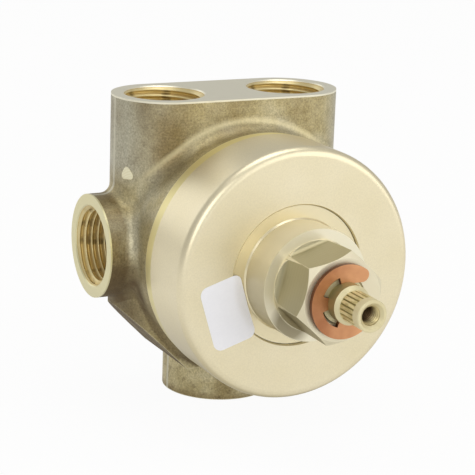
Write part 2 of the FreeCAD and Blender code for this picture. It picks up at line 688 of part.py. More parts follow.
def build_spindle():
    """The brass spindle: square tongue, thrust flange, grooves, collar, splines and a tapped tip."""
    shaft, flange = "spindle_diameter / 2", "spindle_flange_diameter / 2"
    half_seat = "(spindle_ring_section / 2 + ring_side_gap)"
    seat = f"{shaft} - spindle_ring_section"
    ring_grooves = []
    for station in ("spindle_ring_first", "spindle_ring_second"):
        low, high = f"{station} - {half_seat}", f"{station} + {half_seat}"
        ring_grooves += [(shaft, low), (seat, low), (seat, high), (shaft, high)]
    groove_back, groove_front = f"{CLIP_BACK} - clip_seat_gap", f"{CLIP_FRONT} + clip_seat_gap"
    groove, collar, spline = "clip_groove_diameter / 2", "collar_diameter / 2", "spline_diameter / 2"
    hole = "tip_hole_diameter / 2"
    hole_floor = f"{SPINDLE_TIP} - tip_hole_depth"
    body = turned("spindle", [
        ("0", DRIVER_FRONT), (flange, DRIVER_FRONT), (flange, WASHER_BACK), (shaft, WASHER_BACK),
        *ring_grooves,
        (shaft, groove_back), (groove, groove_back), (groove, groove_front), (collar, groove_front),
        (collar, COLLAR_FRONT), (spline, SPLINE_BACK), (spline, f"{SPINDLE_TIP} - tip_chamfer"),
        (f"{spline} - tip_chamfer", SPINDLE_TIP), (f"{hole} + tip_hole_chamfer", SPINDLE_TIP),
        (hole, f"{SPINDLE_TIP} - tip_hole_chamfer"), (hole, hole_floor),
        ("0", f"{hole_floor} - tip_hole_point")])
    tongue = new_sketch(body, "XY_Plane", "tongue", station=DRIVER_FRONT)
    reach = "(tongue_width / 2)"
    draw_square(tongue, reach)
    extrude(body, "Pad", tongue, "tongue_length", reverse=True)
    tooth_gap = new_sketch(body, "XY_Plane", "tooth_gap", station=f"{SPINDLE_TIP} - spline_end_gap")
    crest, root = f"({spline} + spline_overrun)", f"({spline} - spline_depth)"
    half_gap = f"{crest} * tan(180 / spline_count * spline_gap_share)"
    draw_outline(tooth_gap, [(root, "0"), (crest, f"-{half_gap}"), (crest, half_gap)])
    first_gap = extrude(body, "Pocket", tooth_gap, "spline_length - spline_end_gap")
    repeat_round(body, first_gap, "spline_count")


def build_thrust_washer():
    """The slippery washer between the spindle's flange and the bonnet's inner end."""
    turned("thrust_washer", [
        (SPINDLE_BORE, WASHER_BACK), ("spindle_flange_diameter / 2", WASHER_BACK),
        ("spindle_flange_diameter / 2", WASHER_FRONT), (SPINDLE_BORE, WASHER_FRONT)])


def build_retaining_clip():
    """The spring clip in the spindle's groove: an open ring with three prongs, pushed on from the side."""
    body = new_body("retaining_clip")
    seat, outside = "(clip_groove_diameter / 2 + clip_seat_gap)", "clip_diameter / 2"
    face = new_sketch(body, "XY_Plane", "face", station=CLIP_BACK)
    draw_circle(face, outside)
    draw_circle(face, seat)
    extrude(body, "Pad", face, "clip_thickness")
    mouth = new_sketch(body, "XY_Plane", "mouth", station=CLIP_BACK)
    draw_outline(mouth, [("0", f"-{seat}"), ("clip_diameter", f"-{seat}"),
                         ("clip_diameter", seat), ("0", seat)])
    cut = extrude(body, "Pocket", mouth, "clip_thickness", reverse=True)
    rim = value(outside)

    def at_arm_tip(edge, points):
        through = abs(points[0].z - points[-1].z) > TOUCH
        on_rim = all(abs(math.hypot(p.x, p.y) - rim) < TOUCH for p in points)
        return edge.Curve.TypeId == "Part::GeomLine" and through and on_rim

    round_edges(body, cut, "arm_tips", "clip_tip_radius", at_arm_tip)
    windows = new_sketch(body, "XY_Plane", "windows", station=CLIP_BACK)
    inner, outer = f"({seat} - clip_thickness)", "(clip_window_diameter / 2)"
    draw_sector(windows, inner, outer, "clip_window_start_deg", "clip_window_end_deg")
    draw_sector(windows, inner, outer, "(360 - clip_window_end_deg)", "(360 - clip_window_start_deg)")
    extrude(body, "Pocket", windows, "clip_thickness", reverse=True)


def check_and_write():
    doc.recompute()
    for item in doc.Objects:
        bad = [state for state in item.State if state in ("Invalid", "Error")]
        if bad:
            raise RuntimeError(f"{item.Name} did not build: {bad}")
    os.makedirs("parts", exist_ok=True)
    for item in SUB_PARTS:
        if item.Shape.isNull() or not item.Shape.isValid():
            raise RuntimeError(f"{item.Label} has no valid solid")
        item.Shape.exportStep(f"parts/{item.Label}.step")


build_valve_body()
build_seals()
build_fixed_disc()
build_disc_pins()
build_rotor_disc()
build_disc_driver()
build_stop_pin()
build_front_cap()
build_bonnet()
build_spindle()
build_thrust_washer()
build_retaining_clip()
check_and_write()
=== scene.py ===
"""Five-way diverter valve: finishes, threads and blank label over the solids, in a plain studio."""
import math

import bpy
import numpy as np
from mathutils import Matrix, Vector


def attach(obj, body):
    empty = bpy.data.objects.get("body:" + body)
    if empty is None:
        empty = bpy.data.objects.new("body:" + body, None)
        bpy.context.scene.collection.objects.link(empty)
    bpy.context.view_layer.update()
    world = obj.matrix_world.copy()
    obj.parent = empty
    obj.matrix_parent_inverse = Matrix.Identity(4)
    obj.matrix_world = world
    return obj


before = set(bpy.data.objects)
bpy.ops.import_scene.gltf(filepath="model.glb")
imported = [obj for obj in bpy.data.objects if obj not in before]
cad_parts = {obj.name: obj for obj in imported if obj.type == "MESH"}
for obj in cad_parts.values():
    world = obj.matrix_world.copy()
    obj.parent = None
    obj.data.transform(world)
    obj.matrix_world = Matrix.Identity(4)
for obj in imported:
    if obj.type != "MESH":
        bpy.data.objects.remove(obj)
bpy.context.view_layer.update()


# Valve body: one hot brass forging that carries all five ports.
# The forging is shot-blasted, and its port faces and bores are then cut bare,
# so a grey-olive grained skin meets pale rings and golden holes.
MM = 0.001
SPINDLE_HEIGHT = 42.5 * MM
TOP_FACE = 82.1 * MM
SIDE_FACE = 38.1 * MM
TOP_PORT_X = 17.95 * MM
BORE_EDGE = 10.55 * MM
TOP_BORE_END = 55 * MM
INLET_BORE_END = 30 * MM
BEYOND = 1.0  # a height past either end of the part
FACE_SKIN = 0.45 * MM
FOOT_SKIN = 0.02 * MM
BLOCK_START = 57 * MM
BLOCK_FULL = 64 * MM
PARTING_HALF = 0.7 * MM
ARCH_RADIUS = 33.9 * MM
STREAK_SEED = 4.5
STREAK_STRETCH = 0.45
BROWN_PATCH = (-22.0 * MM, -12.5 * MM, STREAK_STRETCH * 71 * MM)


def linear(hex_colour):
    """sRGB hex colour as linear red, green, blue and alpha."""
    parts = [int(hex_colour[i:i + 2], 16) / 255 for i in (1, 3, 5)]
    return [c / 12.92 if c <= 0.04045 else ((c + 0.055) / 1.055) ** 2.4 for c in parts] + [1.0]


def add(tree, kind, inputs=None, **settings):
    """Adds one node with its settings, and fills its inputs with values or links.

    A link comes from a socket, or from the first output that a node has in use.
    """
    made = tree.nodes.new(kind)
    for name, setting in settings.items():
        setattr(made, name, setting)
    for key, given in (inputs or {}).items():
        if isinstance(given, bpy.types.Node):
            given = next(socket for socket in given.outputs if socket.enabled)
        if isinstance(given, bpy.types.NodeSocket):
            tree.links.new(given, made.inputs[key])
        else:
            made.inputs[key].default_value = given
    return made


def new_finish(name):
    """A material with an empty node tree."""
    finish = bpy.data.materials.new(name)
    finish.use_nodes = True
    finish.node_tree.nodes.clear()
    return finish


def close_finish(finish, shader):
    """Joins the finished shader to the material's output."""
    add(finish.node_tree, "ShaderNodeOutputMaterial", {"Surface": shader})


def dress(node, finish):
    """Gives a solid its finish."""
    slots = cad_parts[node].data.materials
    slots.clear()
    slots.append(finish)


def edge_wear(tree, width):
    """Share of wear, 1 along a sharp edge and 0 on the faces beside it."""
    rounded = add(tree, "ShaderNodeBevel", {"Radius": width}, samples=6)
    flat = add(tree, "ShaderNodeNewGeometry").outputs["Normal"]
    agree = add(tree, "ShaderNodeVectorMath", {0: rounded, 1: flat}, operation="DOT_PRODUCT")
    return add(tree, "ShaderNodeMapRange", {
        "Value": agree, "From Min": 0.985, "From Max": 0.88})


# Shot-blasted brass forging: dull olive, mottled brown and grey, with a fine pale fleck all over,
# dark scale and painted shade below, painted shade in corners, a painted highlight on the drum's
# fillet, a painted grey reflection at the block's ends, rubbed edges, and clean metal on the cut
# faces and bores.
blasted = new_finish("shot_blasted_brass_forging")
tree = blasted.node_tree
place = add(tree, "ShaderNodeTexCoord")
spot = place.outputs["Object"]
folded = add(tree, "ShaderNodeVectorMath", {0: spot}, operation="ABSOLUTE")
from_middle, from_parting, height = add(tree, "ShaderNodeSeparateXYZ", {0: folded}).outputs
_, normal_y, normal_z = add(tree, "ShaderNodeSeparateXYZ", {0: place.outputs["Normal"]}).outputs

# Cut faces and bores are told by where they lie.
side_cut = add(tree, "ShaderNodeMath", {
    0: from_middle, 1: SIDE_FACE - FACE_SKIN}, operation="GREATER_THAN")
top_cut = add(tree, "ShaderNodeMath", {
    0: height, 1: TOP_FACE - FACE_SKIN}, operation="GREATER_THAN")
foot_cut = add(tree, "ShaderNodeMath", {0: height, 1: FOOT_SKIN}, operation="LESS_THAN")
upper_cuts = add(tree, "ShaderNodeMath", {0: side_cut, 1: top_cut}, operation="MAXIMUM")
cut_face = add(tree, "ShaderNodeMath", {0: upper_cuts, 1: foot_cut}, operation="MAXIMUM")
in_bore = None
for keep, shift, low, high in (
    ((0, 1, 1), (0, 0, -SPINDLE_HEIGHT), -BEYOND, BEYOND),
    ((1, 1, 0), (-TOP_PORT_X, 0, 0), TOP_BORE_END, BEYOND),
    ((1, 1, 0), (0, 0, 0), -BEYOND, INLET_BORE_END),
):
    across = add(tree, "ShaderNodeVectorMath", {
        0: folded, 1: keep, 2: shift}, operation="MULTIPLY_ADD")
    far = add(tree, "ShaderNodeVectorMath", {0: across}, operation="LENGTH")
    near = add(tree, "ShaderNodeMath", {0: far, 1: BORE_EDGE}, operation="LESS_THAN")
    above = add(tree, "ShaderNodeMath", {0: height, 1: low}, operation="GREATER_THAN")
    below = add(tree, "ShaderNodeMath", {0: height, 1: high}, operation="LESS_THAN")
    gate = add(tree, "ShaderNodeMath", {0: above, 1: below}, operation="MULTIPLY")
    one = add(tree, "ShaderNodeMath", {0: near, 1: gate}, operation="MULTIPLY")
    in_bore = one if in_bore is None else add(
        tree, "ShaderNodeMath", {0: in_bore, 1: one}, operation="MAXIMUM")

# The skin is olive, and grey in patches where forgings rubbed together.
# The grey at the block's ends is a painted reflection.
# Blast pits are about 0.2 mm across and drawn at 0.5 mm so that they show.
pits = add(tree, "ShaderNodeTexNoise", {
    "Vector": spot, "Scale": 1 / (0.5 * MM), "Detail": 3, "Roughness": 0.7})
mottle = add(tree, "ShaderNodeTexNoise", {
    "Vector": spot, "Scale": 1 / (8 * MM), "Detail": 5, "Roughness": 0.62})
patch = add(tree, "ShaderNodeTexNoise", {
    "Vector": spot, "Scale": 1 / (21 * MM), "Detail": 3, "Roughness": 0.55})
skin_tone = add(tree, "ShaderNodeValToRGB", {0: mottle})
dark_stop, light_stop = skin_tone.color_ramp.elements
dark_stop.position, dark_stop.color = 0.34, linear("#B3A475")
light_stop.position, light_stop.color = 0.64, linear("#C9BD94")
handled = add(tree, "ShaderNodeMapRange", {
    "Value": patch, "From Min": 0.5, "From Max": 0.66, "To Max": 0.5})
# Painted reflection: grey laid on both ends of the block.
far_out = add(tree, "ShaderNodeMapRange", {
    "Value": from_middle, "From Min": 22 * MM, "From Max": 31 * MM, "To Max": 0.85})
block = add(tree, "ShaderNodeMapRange", {
    "Value": height, "From Min": BLOCK_START, "From Max": BLOCK_FULL})
block_end_painted_reflection = add(tree, "ShaderNodeMath", {0: far_out, 1: block}, operation="MULTIPLY")
rubbed_grey_and_painted_reflection = add(tree, "ShaderNodeMath", {0: handled, 1: block_end_painted_reflection}, operation="MAXIMUM")
greyed = add(tree, "ShaderNodeMix", {
    "Factor": rubbed_grey_and_painted_reflection, "A": skin_tone, "B": linear("#BDBAA8")}, data_type="RGBA")

# Brown stain lies in upright streaks, on the side bosses and round the foot.
# A brown patch lies on the block's left.
stretch = add(tree, "ShaderNodeVectorMath", {
    0: spot, 1: (1, 1, STREAK_STRETCH)}, operation="MULTIPLY")
streak = add(tree, "ShaderNodeTexNoise", {
    "Vector": stretch, "W": STREAK_SEED, "Scale": 1 / (16 * MM), "Detail": 3,
    "Roughness": 0.5}, noise_dimensions="4D")
stain = add(tree, "ShaderNodeMapRange", {
    "Value": streak, "From Min": 0.5, "From Max": 0.69, "To Max": 0.6})
boss_out = add(tree, "ShaderNodeMapRange", {
    "Value": from_middle, "From Min": 32.6 * MM, "From Max": 33.6 * MM})
boss_scale = add(tree, "ShaderNodeMapRange", {
    "Value": mottle, "From Min": 0.3, "From Max": 0.7, "To Min": 0.95, "To Max": 0.4})
on_boss = add(tree, "ShaderNodeMath", {0: boss_out, 1: boss_scale}, operation="MULTIPLY")
off_patch = add(tree, "ShaderNodeVectorMath", {0: stretch, 1: BROWN_PATCH}, operation="DISTANCE")
patch_spread = add(tree, "ShaderNodeMapRange", {
    "Value": off_patch, "From Min": 8 * MM, "From Max": 2 * MM, "To Max": 0.75})
streaks_and_brown_patch = add(tree, "ShaderNodeMath", {0: stain, 1: patch_spread}, operation="MAXIMUM")
foot_stain = add(tree, "ShaderNodeMapRange", {
    "Value": height, "From Min": 2.2 * MM, "From Max": 0.2 * MM, "To Max": 0.75})
low_stain = add(tree, "ShaderNodeMath", {0: foot_stain, 1: on_boss}, operation="MAXIMUM")
browned = add(tree, "ShaderNodeMath", {0: streaks_and_brown_patch, 1: low_stain}, operation="MAXIMUM")
stained = add(tree, "ShaderNodeMix", {
    "Factor": browned, "A": greyed, "B": linear("#836F47")}, data_type="RGBA")

# Oxide scale lies low on the flanks, scale and painted shade on the undersides,
# and painted shade in the corners of ledges.
# Scale and painted shade: skin that faces down is darkened.
uneven = add(tree, "ShaderNodeMath", {0: mottle, 1: 0.4, 2: normal_z}, operation="MULTIPLY_ADD")
downward = add(tree, "ShaderNodeMapRange", {
    "Value": uneven, "From Min": 0.2, "From Max": -0.05})
off_drum = add(tree, "ShaderNodeMapRange", {
    "Value": from_parting, "From Min": 17 * MM, "From Max": 13 * MM, "To Min": 0.3})
under = add(tree, "ShaderNodeMath", {0: downward, 1: off_drum}, operation="MULTIPLY")
flank_out = add(tree, "ShaderNodeMapRange", {
    "Value": from_middle, "From Min": 22.5 * MM, "From Max": 29.5 * MM})
flank_low = add(tree, "ShaderNodeMapRange", {
    "Value": height, "From Min": 33 * MM, "From Max": 28 * MM, "To Max": 0.85})
flank = add(tree, "ShaderNodeMath", {0: flank_out, 1: flank_low}, operation="MULTIPLY")
# Painted shade: upward-facing ledges darken where occlusion finds walls close by.
open_sky = add(tree, "ShaderNodeAmbientOcclusion", {"Distance": 9 * MM}, samples=8)
corner = add(tree, "ShaderNodeMapRange", {
    "Value": open_sky.outputs["AO"], "From Min": 0.85, "From Max": 0.45, "To Max": 0.85})
ledge = add(tree, "ShaderNodeMapRange", {"Value": normal_z, "From Min": 0.4, "From Max": 0.65})
painted_corner_shade = add(tree, "ShaderNodeMath", {0: corner, 1: ledge}, operation="MULTIPLY")
low_flank_and_corner_shade = add(tree, "ShaderNodeMath", {0: flank, 1: painted_corner_shade}, operation="MAXIMUM")
scale_and_shade_places = add(tree, "ShaderNodeMath", {0: under, 1: low_flank_and_corner_shade}, operation="MAXIMUM")
scaly = add(tree, "ShaderNodeMapRange", {
    "Value": mottle, "From Min": 0.35, "From Max": 0.6, "To Min": 0.7})
scale_and_painted_shade = add(tree, "ShaderNodeMath", {0: scale_and_shade_places, 1: scaly}, operation="MULTIPLY")
# One dark tone serves for oxide scale and for painted shade.
scale_and_shade_tinted = add(tree, "ShaderNodeMix", {
    "Factor": scale_and_painted_shade, "A": stained, "B": linear("#665435")}, data_type="RGBA")

# Small dark scabs come more below the spindle than above it, and the pits' fleck lies over all.
scab = add(tree, "ShaderNodeTexNoise", {
    "Vector": spot, "Scale": 1 / (1.7 * MM), "Detail": 2, "Roughness": 0.6})
scab_share = add(tree, "ShaderNodeMapRange", {
    "Value": scab, "From Min": 0.55, "From Max": 0.68, "To Max": 0.36})
low_down = add(tree, "ShaderNodeMapRange", {
    "Value": height, "From Min": 48 * MM, "From Max": 40 * MM, "To Min": 0.35})
scab_left = add(tree, "ShaderNodeMath", {0: scab_share, 1: low_down}, operation="MULTIPLY")
scabbed = add(tree, "ShaderNodeMix", {
    "Factor": scab_left, "A": scale_and_shade_tinted, "B": linear("#5E4B2E")}, data_type="RGBA")
fleck = add(tree, "ShaderNodeMapRange", {
    "Value": pits, "From Min": 0.32, "From Max": 0.68, "To Min": 0.74, "To Max": 1.19})
flecked = add(tree, "ShaderNodeVectorMath", {0: scabbed, 1: fleck}, operation="MULTIPLY")

# A painted highlight lies on the fillet over the drum.
# Rubbed metal shows along the parting line and on sharp edges.
around = add(tree, "ShaderNodeVectorMath", {
    0: spot, 1: (1, 0, 1), 2: (0, 0, -SPINDLE_HEIGHT)}, operation="MULTIPLY_ADD")
off_axis = add(tree, "ShaderNodeVectorMath", {0: around}, operation="LENGTH")
arch_out = add(tree, "ShaderNodeMath", {0: off_axis, 1: ARCH_RADIUS}, operation="SUBTRACT")
arch_off = add(tree, "ShaderNodeMath", {0: arch_out}, operation="ABSOLUTE")
arch = add(tree, "ShaderNodeMapRange", {
    "Value": arch_off, "From Min": 1.0 * MM, "From Max": 0.1 * MM, "To Max": 0.55})
in_front = add(tree, "ShaderNodeMapRange", {
    "Value": normal_y, "From Min": -0.4, "From Max": -0.75})
up_front = add(tree, "ShaderNodeMath", {0: in_front, 1: block}, operation="MULTIPLY")
# Painted highlight: a pale band along the fillet, on forward-facing skin of the block.
arch_painted_highlight = add(tree, "ShaderNodeMath", {0: arch, 1: up_front}, operation="MULTIPLY")
arch_highlighted = add(tree, "ShaderNodeMix", {
    "Factor": arch_painted_highlight, "A": flecked, "B": linear("#D6CAA0")}, data_type="RGBA")
parting = add(tree, "ShaderNodeMapRange", {
    "Value": from_parting, "From Min": PARTING_HALF, "From Max": 0.6 * PARTING_HALF,
    "To Max": 0.75})
bare = add(tree, "ShaderNodeMath", {0: parting, 1: under}, operation="SUBTRACT", use_clamp=True)
skin = add(tree, "ShaderNodeMix", {
    "Factor": bare, "A": arch_highlighted, "B": linear("#CFCAB4")}, data_type="RGBA")
worn = add(tree, "ShaderNodeMix", {
    "Factor": edge_wear(tree, 0.6 * MM), "A": skin, "B": linear("#D6CDA9")}, data_type="RGBA")

# Cut metal is smoother than the skin, and the places of scale and painted shade are the dullest.
cut_tone = add(tree, "ShaderNodeMix", {
    "Factor": side_cut, "A": linear("#EDE8D1"), "B": linear("#E2DAAE")}, data_type="RGBA")
faced = add(tree, "ShaderNodeMix", {
    "Factor": cut_face, "A": worn, "B": cut_tone}, data_type="RGBA")
bored = add(tree, "ShaderNodeMix", {
    "Factor": in_bore, "A": faced, "B": linear("#D3B56C")}, data_type="RGBA")
cut = add(tree, "ShaderNodeMath", {0: cut_face, 1: in_bore}, operation="MAXIMUM")
skin_rough = add(tree, "ShaderNodeMapRange", {
    "Value": scale_and_painted_shade, "To Min": 0.44, "To Max": 0.75})
rough = add(tree, "ShaderNodeMix", {
    "Factor": cut, "A": skin_rough, "B": 0.36}, data_type="FLOAT")
shine = add(tree, "ShaderNodeMapRange", {"Value": scale_and_painted_shade, "To Min": 0.8, "To Max": 0.1})
pit_depth = add(tree, "ShaderNodeMix", {"Factor": cut, "A": 0.55, "B": 0.08}, data_type="FLOAT")
swell = add(tree, "ShaderNodeBump", {"Strength": 0.25, "Distance": 0.3 * MM, "Height": mottle})
relief = add(tree, "ShaderNodeBump", {
    "Strength": pit_depth, "Distance": 0.12 * MM, "Height": pits, "Normal": swell})
close_finish(blasted, add(tree, "ShaderNodeBsdfPrincipled", {
    "Base Color": bored, "Metallic": shine, "Roughness": rough, "Normal": relief}))
dress("valve_body", blasted)


# Port threads: the half-inch pipe threads tapped in the five ports, part of the forging's metal.
# The solid's wall stands at the thread's root, and these rings are the ridges that the tap leaves.
PIPE_WALL = 10.4775 * MM
PIPE_CREST = 9.32 * MM
PIPE_PITCH = 1.814 * MM
PIPE_MOUTH = 10.88 * MM
PIPE_START = 0.42 * MM
PIPE_END = 12.9 * MM
PIPE_LEAD_IN = 1.1 * MM
# Depths over which painted shade deepens down the ports.
PIPE_DEEP_SHADE_FROM = 12 * MM
PIPE_DEEP_SHADE_TO = 24 * MM
PIPE_SPOKES = 112


def thread_ring(name, wall, crest, pitch, mouth, start, end, around):
    """Closed ring of thread ridges in a hole, from start to end below the mouth along +Z."""
    root_gap = 0.03 * MM
    back_gap = 0.005 * MM
    rows_per_ridge = 14
    flank_slope = 1.45
    root_flat = 0.3
    rows = int((end - start) / pitch * rows_per_ridge)
    depth = np.linspace(start, end, rows)[:, None]
    angle = np.linspace(0, 2 * math.pi, around, endpoint=False)[None, :]
    phase = (depth / pitch - angle / (2 * math.pi)) % 1.0
    ridge = np.clip(np.abs(2 * phase - 1) * flank_slope - root_flat, 0, 1)
    ridge = ridge * np.clip((end - depth) / pitch, 0, 1)
    radius = wall - root_gap - (wall - root_gap - crest) * ridge
    radius = np.minimum(np.maximum(radius, mouth - depth), wall - root_gap)
    turn = np.broadcast_to(angle, radius.shape)
    deep = np.broadcast_to(depth, radius.shape)
    inner = np.stack([radius * np.cos(turn), radius * np.sin(turn), deep], -1).reshape(-1, 3)
    flat = np.full(around, wall - back_gap)
    outer = [np.stack([flat * np.cos(angle[0]), flat * np.sin(angle[0]), np.full(around, d)], -1)
             for d in (end, start)]
    points = np.concatenate([inner, *outer])
    faces = []
    loops = rows + 2
    for row in range(loops):
        here, there = row * around, (row + 1) % loops * around
        for i in range(around):
            j = (i + 1) % around
            faces.append((here + i, there + i, there + j, here + j))
    mesh = bpy.data.meshes.new(name)
    mesh.from_pydata(points.tolist(), [], faces)
    heights = np.concatenate([ridge.reshape(-1), np.zeros(2 * around)]).astype(np.float32)
    mesh.attributes.new("ridge", "FLOAT", "POINT").data.foreach_set("value", heights)
    mesh.shade_smooth()
    piece = bpy.data.objects.new(name, mesh)
    bpy.context.scene.collection.objects.link(piece)
    return piece


# Tapped brass: golden flanks with bright crests, a pale countersunk lead-in,
# dark smears of cutting oil in the roots, and painted shade that deepens down the hole.
def tapped_brass(name, flank, smear_size, oil_share, lead_in_end, deep_shade_from, deep_shade_to):
    """A finish for thread rings, whose ridge attribute tells crests from roots."""
    finish = new_finish(name)
    tree = finish.node_tree
    spot = add(tree, "ShaderNodeTexCoord").outputs["Object"]
    stretch = add(tree, "ShaderNodeVectorMath", {0: spot, 1: (1, 1, 0.2)}, operation="MULTIPLY")
    smear = add(tree, "ShaderNodeTexNoise", {
        "Vector": stretch, "Scale": 1 / smear_size, "Detail": 3})
    height = add(tree, "ShaderNodeAttribute", attribute_name="ridge").outputs["Fac"]
    depth = add(tree, "ShaderNodeSeparateXYZ", {0: spot}).outputs[2]
    tone = add(tree, "ShaderNodeMix", {
        "Factor": height, "A": linear(flank), "B": linear("#EADBA6")}, data_type="RGBA")
    oil = add(tree, "ShaderNodeMapRange", {
        "Value": smear, "From Min": 0.55, "From Max": 0.66, "To Max": oil_share})
    root = add(tree, "ShaderNodeMapRange", {
        "Value": height, "From Min": 1.0, "From Max": 0.4, "To Min": 0.35})
    oily_root = add(tree, "ShaderNodeMath", {0: oil, 1: root}, operation="MULTIPLY")
    # Painted shade: the wall darkens with depth down the hole.
    deep_painted_shade = add(tree, "ShaderNodeMapRange", {
        "Value": depth, "From Min": deep_shade_from, "From Max": deep_shade_to, "To Max": 0.95})
    oil_and_deep_shade = add(tree, "ShaderNodeMath", {0: oily_root, 1: deep_painted_shade}, operation="MAXIMUM")
    stained = add(tree, "ShaderNodeMix", {
        "Factor": oil_and_deep_shade, "A": tone, "B": linear("#553A16")}, data_type="RGBA")
    sunk = add(tree, "ShaderNodeMapRange", {
        "Value": depth, "From Min": lead_in_end + 0.2 * MM, "From Max": lead_in_end,
        "To Max": 0.65})
    countersunk = add(tree, "ShaderNodeMix", {
        "Factor": sunk, "A": stained, "B": linear("#D0BE8A")}, data_type="RGBA")
    gloss = add(tree, "ShaderNodeMapRange", {"Value": smear, "To Min": 0.28, "To Max": 0.48})
    chatter = add(tree, "ShaderNodeBump", {
        "Strength": 0.15, "Distance": 0.03 * MM, "Height": smear})
    close_finish(finish, add(tree, "ShaderNodeBsdfPrincipled", {
        "Base Color": countersunk, "Metallic": 0.65, "Roughness": gloss, "Normal": chatter}))
    return finish


side_brass = tapped_brass("tapped_brass", "#DFC47C", 4 * MM, 0.62,
                          PIPE_LEAD_IN, PIPE_DEEP_SHADE_FROM, PIPE_DEEP_SHADE_TO)
top_brass = tapped_brass("smeared_tapped_brass", "#DFC47C", 7 * MM, 1.0,
                         PIPE_LEAD_IN, PIPE_DEEP_SHADE_FROM, PIPE_DEEP_SHADE_TO)
for name, finish, mouth_at, inward, start_angle in (
    ("left_port_thread", side_brass, (-SIDE_FACE, 0, SPINDLE_HEIGHT), (1, 0, 0), 238),
    ("right_port_thread", side_brass, (SIDE_FACE, 0, SPINDLE_HEIGHT), (-1, 0, 0), 100),
    ("top_left_port_thread", top_brass, (-TOP_PORT_X, 0, TOP_FACE), (0, 0, -1), 332),
    ("top_right_port_thread", top_brass, (TOP_PORT_X, 0, TOP_FACE), (0, 0, -1), 334),
    ("inlet_port_thread", side_brass, (0, 0, 0), (0, 0, 1), 60),
):
    ring = thread_ring(name, PIPE_WALL, PIPE_CREST, PIPE_PITCH, PIPE_MOUTH,
                       PIPE_START, PIPE_END, PIPE_SPOKES)
    ring.data.materials.append(finish)
    turned = Vector(inward).to_track_quat("Z", "Y").to_matrix().to_4x4()
    started = Matrix.Rotation(math.radians(start_angle), 4, "Z")
    ring.matrix_world = Matrix.Translation(mouth_at) @ turned @ started
    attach(ring, "housing")


# Casting nub: the stub where flash was snipped and ground off, low on the block's left end.
# It is bare bright metal, a rounded triangle that stands a little proud of the curved skin.
END_RADIUS = 13.9 * MM
NUB_ANGLE = math.radians(-155.6)
NUB_HEIGHT = 62.5 * MM
NUB_SIZE = 1.75 * MM
NUB_LOBE = 0.14
NUB_OVAL = 0.04
NUB_TURN = math.radians(95)
NUB_PROUD = 0.16 * MM
NUB_SUNK = 0.3 * MM
NUB_RINGS = ((1.0, -NUB_SUNK), (1.0, 0.4 * NUB_PROUD), (0.9, 0.85 * NUB_PROUD),
             (0.7, NUB_PROUD), (0.3, NUB_PROUD))
NUB_SPOKES = 48
points, faces = [], []
for out, proud in NUB_RINGS:
    r = END_RADIUS + proud
    for i in range(NUB_SPOKES):
        a = 2 * math.pi * i / NUB_SPOKES
        lobes = NUB_LOBE * math.cos(3 * (a - NUB_TURN)) + NUB_OVAL * math.cos(2 * a)
        reach = NUB_SIZE * out * (1 + lobes)
        along = NUB_ANGLE + reach * math.cos(a) / END_RADIUS
        points.append((-TOP_PORT_X + r * math.cos(along), r * math.sin(along),
                       NUB_HEIGHT + reach * math.sin(a)))
last = (len(NUB_RINGS) - 1) * NUB_SPOKES
for here in range(0, last, NUB_SPOKES):
    for i in range(NUB_SPOKES):
        j = (i + 1) % NUB_SPOKES
        faces.append((here + i, here + j, here + NUB_SPOKES + j, here + NUB_SPOKES + i))
faces.append(tuple(range(last, last + NUB_SPOKES)))
faces.append(tuple(reversed(range(NUB_SPOKES))))
mesh = bpy.data.meshes.new("casting_nub")
mesh.from_pydata(points, [], faces)
nub = bpy.data.objects.new("casting_nub", mesh)
bpy.context.scene.collection.objects.link(nub)

# Ground brass: bright pale yellow with fine straight grinding lines.
# The lines are about 0.1 mm apart and drawn at 0.4 mm so that they show.
GRIND_SPACING = 0.4353 * MM
DIAGONAL_BANDS = 10 * math.sqrt(3) / (2 * math.pi)  # of a wave texture of scale 1, in one unit
ground = new_finish("ground_brass")
tree = ground.node_tree
place = add(tree, "ShaderNodeTexCoord")
lines = add(tree, "ShaderNodeTexWave", {
    "Vector": place.outputs["Object"], "Scale": 1 / (DIAGONAL_BANDS * GRIND_SPACING),
    "Distortion": 3.0, "Detail": 2}, bands_direction="DIAGONAL")
tone = add(tree, "ShaderNodeMix", {
    "Factor": lines, "A": linear("#EFE8C5"), "B": linear("#F6F0D2")}, data_type="RGBA")
scratch = add(tree, "ShaderNodeBump", {"Strength": 0.08, "Distance": 0.02 * MM, "Height": lines})
close_finish(ground, add(tree, "ShaderNodeBsdfPrincipled", {
    "Base Color": tone, "Metallic": 0.7, "Roughness": 0.5, "Normal": scratch}))
nub.data.materials.append(ground)
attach(nub, "housing")


# Front cap: the big round cap that screws over the body's neck, turned from brass bar.
# It is glass-bead blasted all over, and its back edge is left as it came from the tool.
CAP_BACK_EDGE = -26.4 * MM

# Bead-blasted brass: pale cream with a soft sheen, a hardly visible dimple, faint handling marks,
# and painted shade darkening the rounded rim below.
# Bead dimples are about 0.1 mm across and drawn at 0.4 mm so that they show.
DIMPLE = 0.4 * MM
beaded = new_finish("bead_blasted_brass")
tree = beaded.node_tree
place = add(tree, "ShaderNodeTexCoord")
spot = place.outputs["Object"]
_, along, _ = add(tree, "ShaderNodeSeparateXYZ", {0: spot}).outputs
_, normal_y, normal_z = add(tree, "ShaderNodeSeparateXYZ", {0: place.outputs["Normal"]}).outputs
dimple = add(tree, "ShaderNodeTexNoise", {"Vector": spot, "Scale": 1 / DIMPLE, "Detail": 2})
haze = add(tree, "ShaderNodeTexNoise", {"Vector": spot, "Scale": 1 / (14 * MM), "Detail": 3})
tone = add(tree, "ShaderNodeMix", {
    "Factor": haze, "A": linear("#E8DCB6"), "B": linear("#F1E7CA")}, data_type="RGBA")
grain = add(tree, "ShaderNodeMapRange", {
    "Value": dimple, "From Min": 0.3, "From Max": 0.7, "To Min": 0.95, "To Max": 1.02})
speck = add(tree, "ShaderNodeVectorMath", {0: tone, 1: grain}, operation="MULTIPLY")
